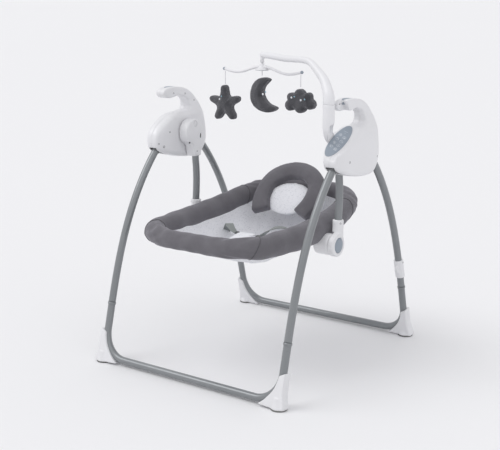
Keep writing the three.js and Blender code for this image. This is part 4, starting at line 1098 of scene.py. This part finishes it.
pillow = {
    # middle line of the band in its own leaning plane: across, up the plane
    "band": [(-80, -62), (-96, -14), (-90, 46), (-54, 84), (0, 98), (54, 84), (90, 46), (96, -14), (80, -62)],
    "halfWidth": 28, "thick": 33, "voxel": 4.4, "rounds": 5, "pressure": 4.0, "cap": 6,
    # off the plane, more at the ends
    "centre": (0, 158, 451), "centreSize": (84, 60, 11), "lean": 48, "forward": (9, 2),
}


def inPillow(across, rise, off):
    lean = math.radians(pillow["lean"])
    place = mm(*pillow["centre"]) + mm(across, rise * math.cos(lean), rise * math.sin(lean))
    return place + mm(0, -off * math.sin(lean), off * math.cos(lean))


def makePillow():
    line = throughPoints([Vector((a, b)) for a, b in pillow["band"]], 60)
    ways = [(line[min(i + 1, 60)] - line[max(i - 1, 0)]).normalized() for i in range(61)]
    sideways = [Vector((-way.y, way.x)) * pillow["halfWidth"] for way in ways]
    outline = [p + q for p, q in zip(line, sideways)] + [p - q for p,
                                                         q in reversed(list(zip(line, sideways)))]
    band = slab([(a / 1000, b / 1000) for a, b in outline], 0, pillow["thick"] / 1000)
    band = bakeModifiers(band, ("REMESH", {"mode": "VOXEL", "voxel_size": pillow["voxel"] / 1000}),
                         ("SMOOTH", {"factor": 0.5, "iterations": pillow["rounds"]}))
    near, more = pillow["forward"]
    for vert in band.verts:
        off, across, rise = vert.co * 1000
        vert.co = inPillow(across, rise, off + near + more * max(0, (10 - rise) / 65) ** 1.5)
    bmesh.ops.recalc_face_normals(band, faces=band.faces)
    piece = toObject("pillowRoll", band, velour)
    inflate(piece, pillow["pressure"], pillow["cap"])
    finer(piece)
    settle(piece, "seat", "velour", "head_pillow")
    lean = Matrix.Rotation(math.radians(pillow["lean"]), 4, "X")
    centre = ellipsoid(mm(*pillow["centre"]), mm(*pillow["centreSize"]), lean, 40)
    centre = bakeModifiers(centre, ("REMESH", {"mode": "VOXEL", "voxel_size": 0.004}),
                           ("SMOOTH", {"factor": 0.5, "iterations": 2}))
    cushion = toObject("pillowCentre", centre, jersey)
    inflate(cushion, 3.0, 4)
    finer(cushion)
    settle(cushion, "seat", "jersey")


ringPad = makeRing()
makeSeams(ringPad)
makeSling()
makePillow()
print("seat ready")

# seat brackets and harness
bracket = {"at": (-8, 372), "drum": (211.8, 261.4), "radius": 31.4, "rounding": 5, "clamp": (206, 13, 24),
           "voxel": 2.0, "rounds": 5}
harness = {
    "pad": [(-205, 350), (-165, 361), (-125, 370), (-88, 376), (-62, 377)], "padWidth": 58, "padThick": 7.5,
    "voxel": 2.6, "rounds": 4,
    "strap": [(142, 14, 352), (126, 3, 374), (109, -15, 387), (92, -36, 391), (74, -52, 387),
              (56, -61, 379), (42, -65, 374)],
    "strapWidth": 25, "strapThick": 2.4, "lift": {"Left": 0, "Right": 15}, "clip": (40, -65, 377),
    "clipSize": (9, 12, 4),
}


def ribbon(points, width, thickness, up=Vector((0, 0, 1))):
    ways = [(points[min(i + 1, len(points) - 1)] - points[max(i - 1,
                                                              0)]).normalized() for i in range(len(points))]
    across = [up.cross(way).normalized() * width / 2000 for way in ways]
    bm = bmesh.new()
    edge = bm.edges.new([bm.verts.new(points[0] + across[0]), bm.verts.new(points[0] - across[0])])
    for i in range(1, len(points)):
        grown = bmesh.ops.extrude_edge_only(bm, edges=[edge])["geom"]
        edge = next(e for e in grown if isinstance(e, bmesh.types.BMEdge))
        for vert in edge.verts:
            way = 1 if (vert.co - points[i - 1]).dot(across[i - 1]) > 0 else -1
            vert.co = points[i] + across[i] * way
    bmesh.ops.recalc_face_normals(bm, faces=bm.faces)
    return bakeModifiers(bm, ("SOLIDIFY", {"thickness": thickness / 1000, "offset": 0}),
                         ("BEVEL", {"width": min(thickness, 2.4) * 0.00035, "segments": 2}))


def makeBrackets():
    y, z = bracket["at"]
    low, high = bracket["drum"]
    x, thick, reach = bracket["clamp"]
    for end, side in sides.items():
        body = drum(bracket["radius"] / 1000, low / 1000, high / 1000, y / 1000, z / 1000,
                    bracket["rounding"] / 1000)
        clamp = sweep([mm(x, y - reach + i * reach / 6, ringHeight(y)) for i in range(13)], thick / 1000, 9)
        neck = sweep([mm(x + 12 - 2 * i, y, z + 8 + 4 * i) for i in range(7)], thick / 1000, 9)
        whole = fuse([body, clamp, neck], bracket["voxel"] / 1000, bracket["rounds"], 0.0004)
        settle(toObject("seatBracket" + end, onSide(whole, side), whitePlastic), "seat", "white_plastic",
               "seat_bracket_" + tail[end])


def makeHarness():
    line = throughPoints([mm(0, y, z) for y, z in harness["pad"]], 24)
    pad = bakeModifiers(ribbon(line, harness["padWidth"], harness["padThick"]),
                        ("REMESH", {"mode": "VOXEL", "voxel_size": harness["voxel"] / 1000}),
                        ("SMOOTH", {"factor": 0.5, "iterations": harness["rounds"]}))
    piece = toObject("crotchPad", pad, jersey)
    inflate(piece, 3.0, 3)
    finer(piece)
    settle(piece, "seat", "jersey", "crotch_pad")
    for end, side in sides.items():
        route = throughPoints([mm(*p) for p in harness["strap"]], 30)
        for i, point in enumerate(route):
            point.z += harness["lift"][end] / 1000 * math.sin(math.pi * i / (len(route) - 1))
        strap = ribbon(route, harness["strapWidth"], harness["strapThick"],
                       Vector((0.25, 0.3, 1)).normalized())
        settle(toObject("strap" + end, onSide(strap, side), webbing), "seat", "webbing", "strap_" + tail[end])
        turn = Matrix.Rotation(math.radians(-37), 4, "Z")
        clip = ellipsoid(mm(*harness["clip"]), mm(*harness["clipSize"]), turn, 24)
        settle(toObject("strapClip" + end, onSide(clip, side), darkPlastic), "seat", "dark_plastic")


makeBrackets()
makeHarness()
print("harness ready")

# mobile: post, bent arm, turning rotor and plush toys
mobile.update({
    "postThick": 16.5,
    # the post's foot runs back into its hub behind the panel
    "post": [(300, -108, 790), (300, -108, 732), (299, -104, 716), (297, -94, 702), (296, -80, 692),
             (296, -62, 686)],
    "route": [(300, -108, 790.5), (300, -108, 798), (297, -105, 814), (286, -96, 832), (267, -82, 854),
              (237, -69, 878),
              (204, -55, 898), (172, -45, 903), (140, -36, 903), (100, -24, 903), (60, -12, 906),
              (22, 0, 908), (-6, 7, 908)],
    "endThick": 9.5, "spigot": (300, -108, 11, 756, 802), "stem": (0, 6, 6, 886, 908),
    "bore": (0, 6, 2.4, 878, 903),
    "shaft": (0, 6, 2, 880, 901), "turn": 862,
    "flare": [(0, 2), (20.6, 2), (21.8, 2.6), (22, 3.6), (18.5, 5.4), (14, 8), (10.4, 11.4), (8, 15),
              (6.7, 18.6),
              (6, 21.4), (5.4, 22), (0, 22)],
    "bar": [(0, 12), (20, 10.5), (42, 4.5), (68, -3.5), (92, -6.5), (118, -4), (140, 1.5)], "barThick": 4,
    "disc": [(1.2, 2.2), (1.2, 1.1), (19, 1.2), (19.8, 1.6), (19.8, 2.2), (1.2, 2.2)],
})
toys = {
    "thick": 25, "voxel": 3.2, "rounds": 5, "pressure": 4.0, "cap": 5,
    "star": {"at": (-136, 757), "tips": 5, "reach": 57, "notch": 28, "spread": 0.17, "turn": 88},
    "moon": {"at": (0, 791), "edge": [(-27, 51), (-10, 54), (12, 47), (29, 30), (37, 5), (35, -17),
                                      (22, -36), (0, -48), (-25, -52),
                                      (-46, -48), (-55, -40), (-46, -35), (-28, -26), (-13, -9), (-7, 9),
                                      (-11, 27), (-22, 42)]},
    # lobes: across, up, radius
    "cloud": {"at": (136, 787), "lobes": [(1, 12, 18), (-27, 8, 13), (-36, -14, 15.5), (-2, -22, 21),
                                          (29, 4, 14), (33, -20, 17),
                                          (0, -4, 27)]},
    # sewn spots: across, up, radius
    "whiteSpots": {"star": [(-12, 14, 3.2)], "moon": [(15, 4, 3.4)], "cloud": [(-20, 4, 3), (12, -2, 3.4)]},
    "blueSpots": {"star": [(-3, 23, 2.2)], "moon": [(25, 11, 2.4)], "cloud": [(-10, 7, 2.2), (25, 1, 2.4)]},
}


def upright(x, y, radius, low, high):
    bm = bmesh.new()
    bmesh.ops.create_cone(bm, cap_ends=True, segments=40, radius1=radius / 1000, radius2=radius / 1000,
                          depth=(high - low) / 1000,
                          matrix=Matrix.Translation(mm(x, y, (low + high) / 2)))
    return bm


def makeMobile():
    route = evenly(throughPoints([mm(*p) for p in mobile["post"]], 60), 0.004)
    post = sweep(route, lambda t: (mobile["postThick"] - (0.7 if t < 0.01 else 0)) / 1000, 12)
    x, y, thick, low, high = mobile["spigot"]
    window = panelDisc(panel["rim"] + 0.6, -1, 60)
    bmesh.ops.transform(window, matrix=panelPlace(), verts=window.verts)
    post = cutAway(post, [upright(x, y, thick + 0.4, low - 1, high), window])
    settle(toObject("mobilePost", post, whitePlastic), "hubs", "white_plastic", "mobile_post")
    route = evenly(throughPoints([mm(*p) for p in mobile["route"]], 160), 0.004)
    last = len(route) - 1

    def armThick(t):
        body = mobile["endThick"] + (mobile["postThick"] - mobile["endThick"]) * max(0, 1 - t / 0.42) ** 1.1
        fromEnd = (1 - t) * last * 0.004 * 1000
        if t == 0:
            body -= 0.7
        return body / 1000 * math.sqrt(max(0.02, 1 - max(0, 1 - fromEnd / mobile["endThick"]) ** 2))
    body = sweep(route, armThick, 12)
    stem = cutAway(upright(*mobile["stem"]), [upright(*mobile["bore"])])
    whole = joined([body, upright(*mobile["spigot"]), stem])
    settle(toObject("mobileArm", whole, whitePlastic), "mobile_arm", "white_plastic", "mobile_arm")
    place = mm(0, mobile["y"], mobile["turn"])
    parts = [turned([(r / 1000, z / 1000) for r, z in mobile["flare"]], place), upright(*mobile["shaft"])]
    for way in (1, -1):
        line = throughPoints([mm(way * a, mobile["y"], mobile["turn"] + b) for a, b in mobile["bar"]], 40)
        parts.append(sweep(line, lambda t: (mobile["barThick"] + 2.4 * max(0, 1 - t / 0.3) ** 2) / 1000, 9))
    settle(toObject("mobileRotor", joined(parts), whitePlastic), "mobile_rotor", "white_plastic",
           "mobile_rotor")
    caps = [turned([(r / 1000, z / 1000) for r, z in mobile["disc"]], place)]
    for way in (1, -1):
        caps.append(ellipsoid(place + mm(way * 139.5, 0, 1), mm(5, 4.9, 4.9), Matrix(), 24))
    settle(toObject("rotorCaps", joined(caps), greyPlastic), "mobile_rotor", "grey_plastic")


def starEdge(shape):
    spots = []
    for i in range(shape["tips"]):
        tip = math.radians(shape["turn"] + 360 * i / shape["tips"])
        for angle, reach in ((-shape["spread"], 0.9), (0, 1), (shape["spread"], 0.9)):
            spots.append(Vector((math.cos(tip + angle), math.sin(tip + angle))) * shape["reach"] * reach)
        dip = tip + math.pi / shape["tips"]
        spots.append(Vector((math.cos(dip), math.sin(dip))) * shape["notch"])
    return throughPoints(spots, 100, closed=True)


def makeToy(name):
    shape, thick = toys[name], toys["thick"] / 1000
    if name == "cloud":
        parts = [drum(r / 1000, -thick / 2, thick / 2, a / 1000, b / 1000) for a, b, r in shape["lobes"]]
    else:
        edge = starEdge(shape) if name == "star" else throughPoints([Vector(p) for p in shape["edge"]], 100,
                                                                    closed=True)
        parts = [slab([(p.x / 1000, p.y / 1000) for p in edge], 0, thick)]
    body = fuse(parts, toys["voxel"] / 1000, toys["rounds"], 0.001)
    x, z = shape["at"]
    facing = Matrix.Translation(mm(x, mobile["y"], z)) @ Matrix.Rotation(-math.pi / 2, 4,
                                                                         "Z") @ Matrix.Scale(-1, 4, (0, 1, 0))
    bmesh.ops.transform(body, matrix=facing, verts=body.verts)
    bmesh.ops.recalc_face_normals(body, faces=body.faces)
    piece = toObject(name + "Toy", body, plush)
    inflate(piece, toys["pressure"], toys["cap"], 6.0)
    finer(piece)
    settle(piece, name, "plush", name + "_toy")
    bpy.context.view_layer.update()
    for kind, thread in (("whiteSpots", whiteThread), ("blueSpots", blueThread)):
        spots = []
        for across, rise, radius in toys[kind][name]:
            place, normal = onSkin(name + "Toy", mm(x + across, mobile["y"] - 18, z + rise), (0, -1, 0))
            lying = Vector((0, 0, 1)).rotation_difference(normal).to_matrix().to_4x4()
            spots.append(ellipsoid(place, mm(radius, radius, 1.3), lying, 16))
        settle(toObject(name + kind[0].upper() + kind[1:], joined(spots), thread), name, "plush")


makeMobile()
for toyName in ("star", "moon", "cloud"):
    makeToy(toyName)
print("mobile ready")

# CAD pieces that stay as they are, with a finer finish
kept = {
    "pivot_bush_right": greyPlastic, "pivot_bush_left": greyPlastic, "drive_coil": copper,
    "circuit_board": board,
    "speaker": darkPlastic, "power_inlet": darkPlastic, "swing_axle_right": steel, "swing_axle_left": steel,
    "drive_lever": steel, "seat_tube_front": steel, "seat_tube_rear": steel,
}
for nodeName, material in kept.items():
    for materialSlot in bpy.data.objects[nodeName].material_slots:
        materialSlot.material = material
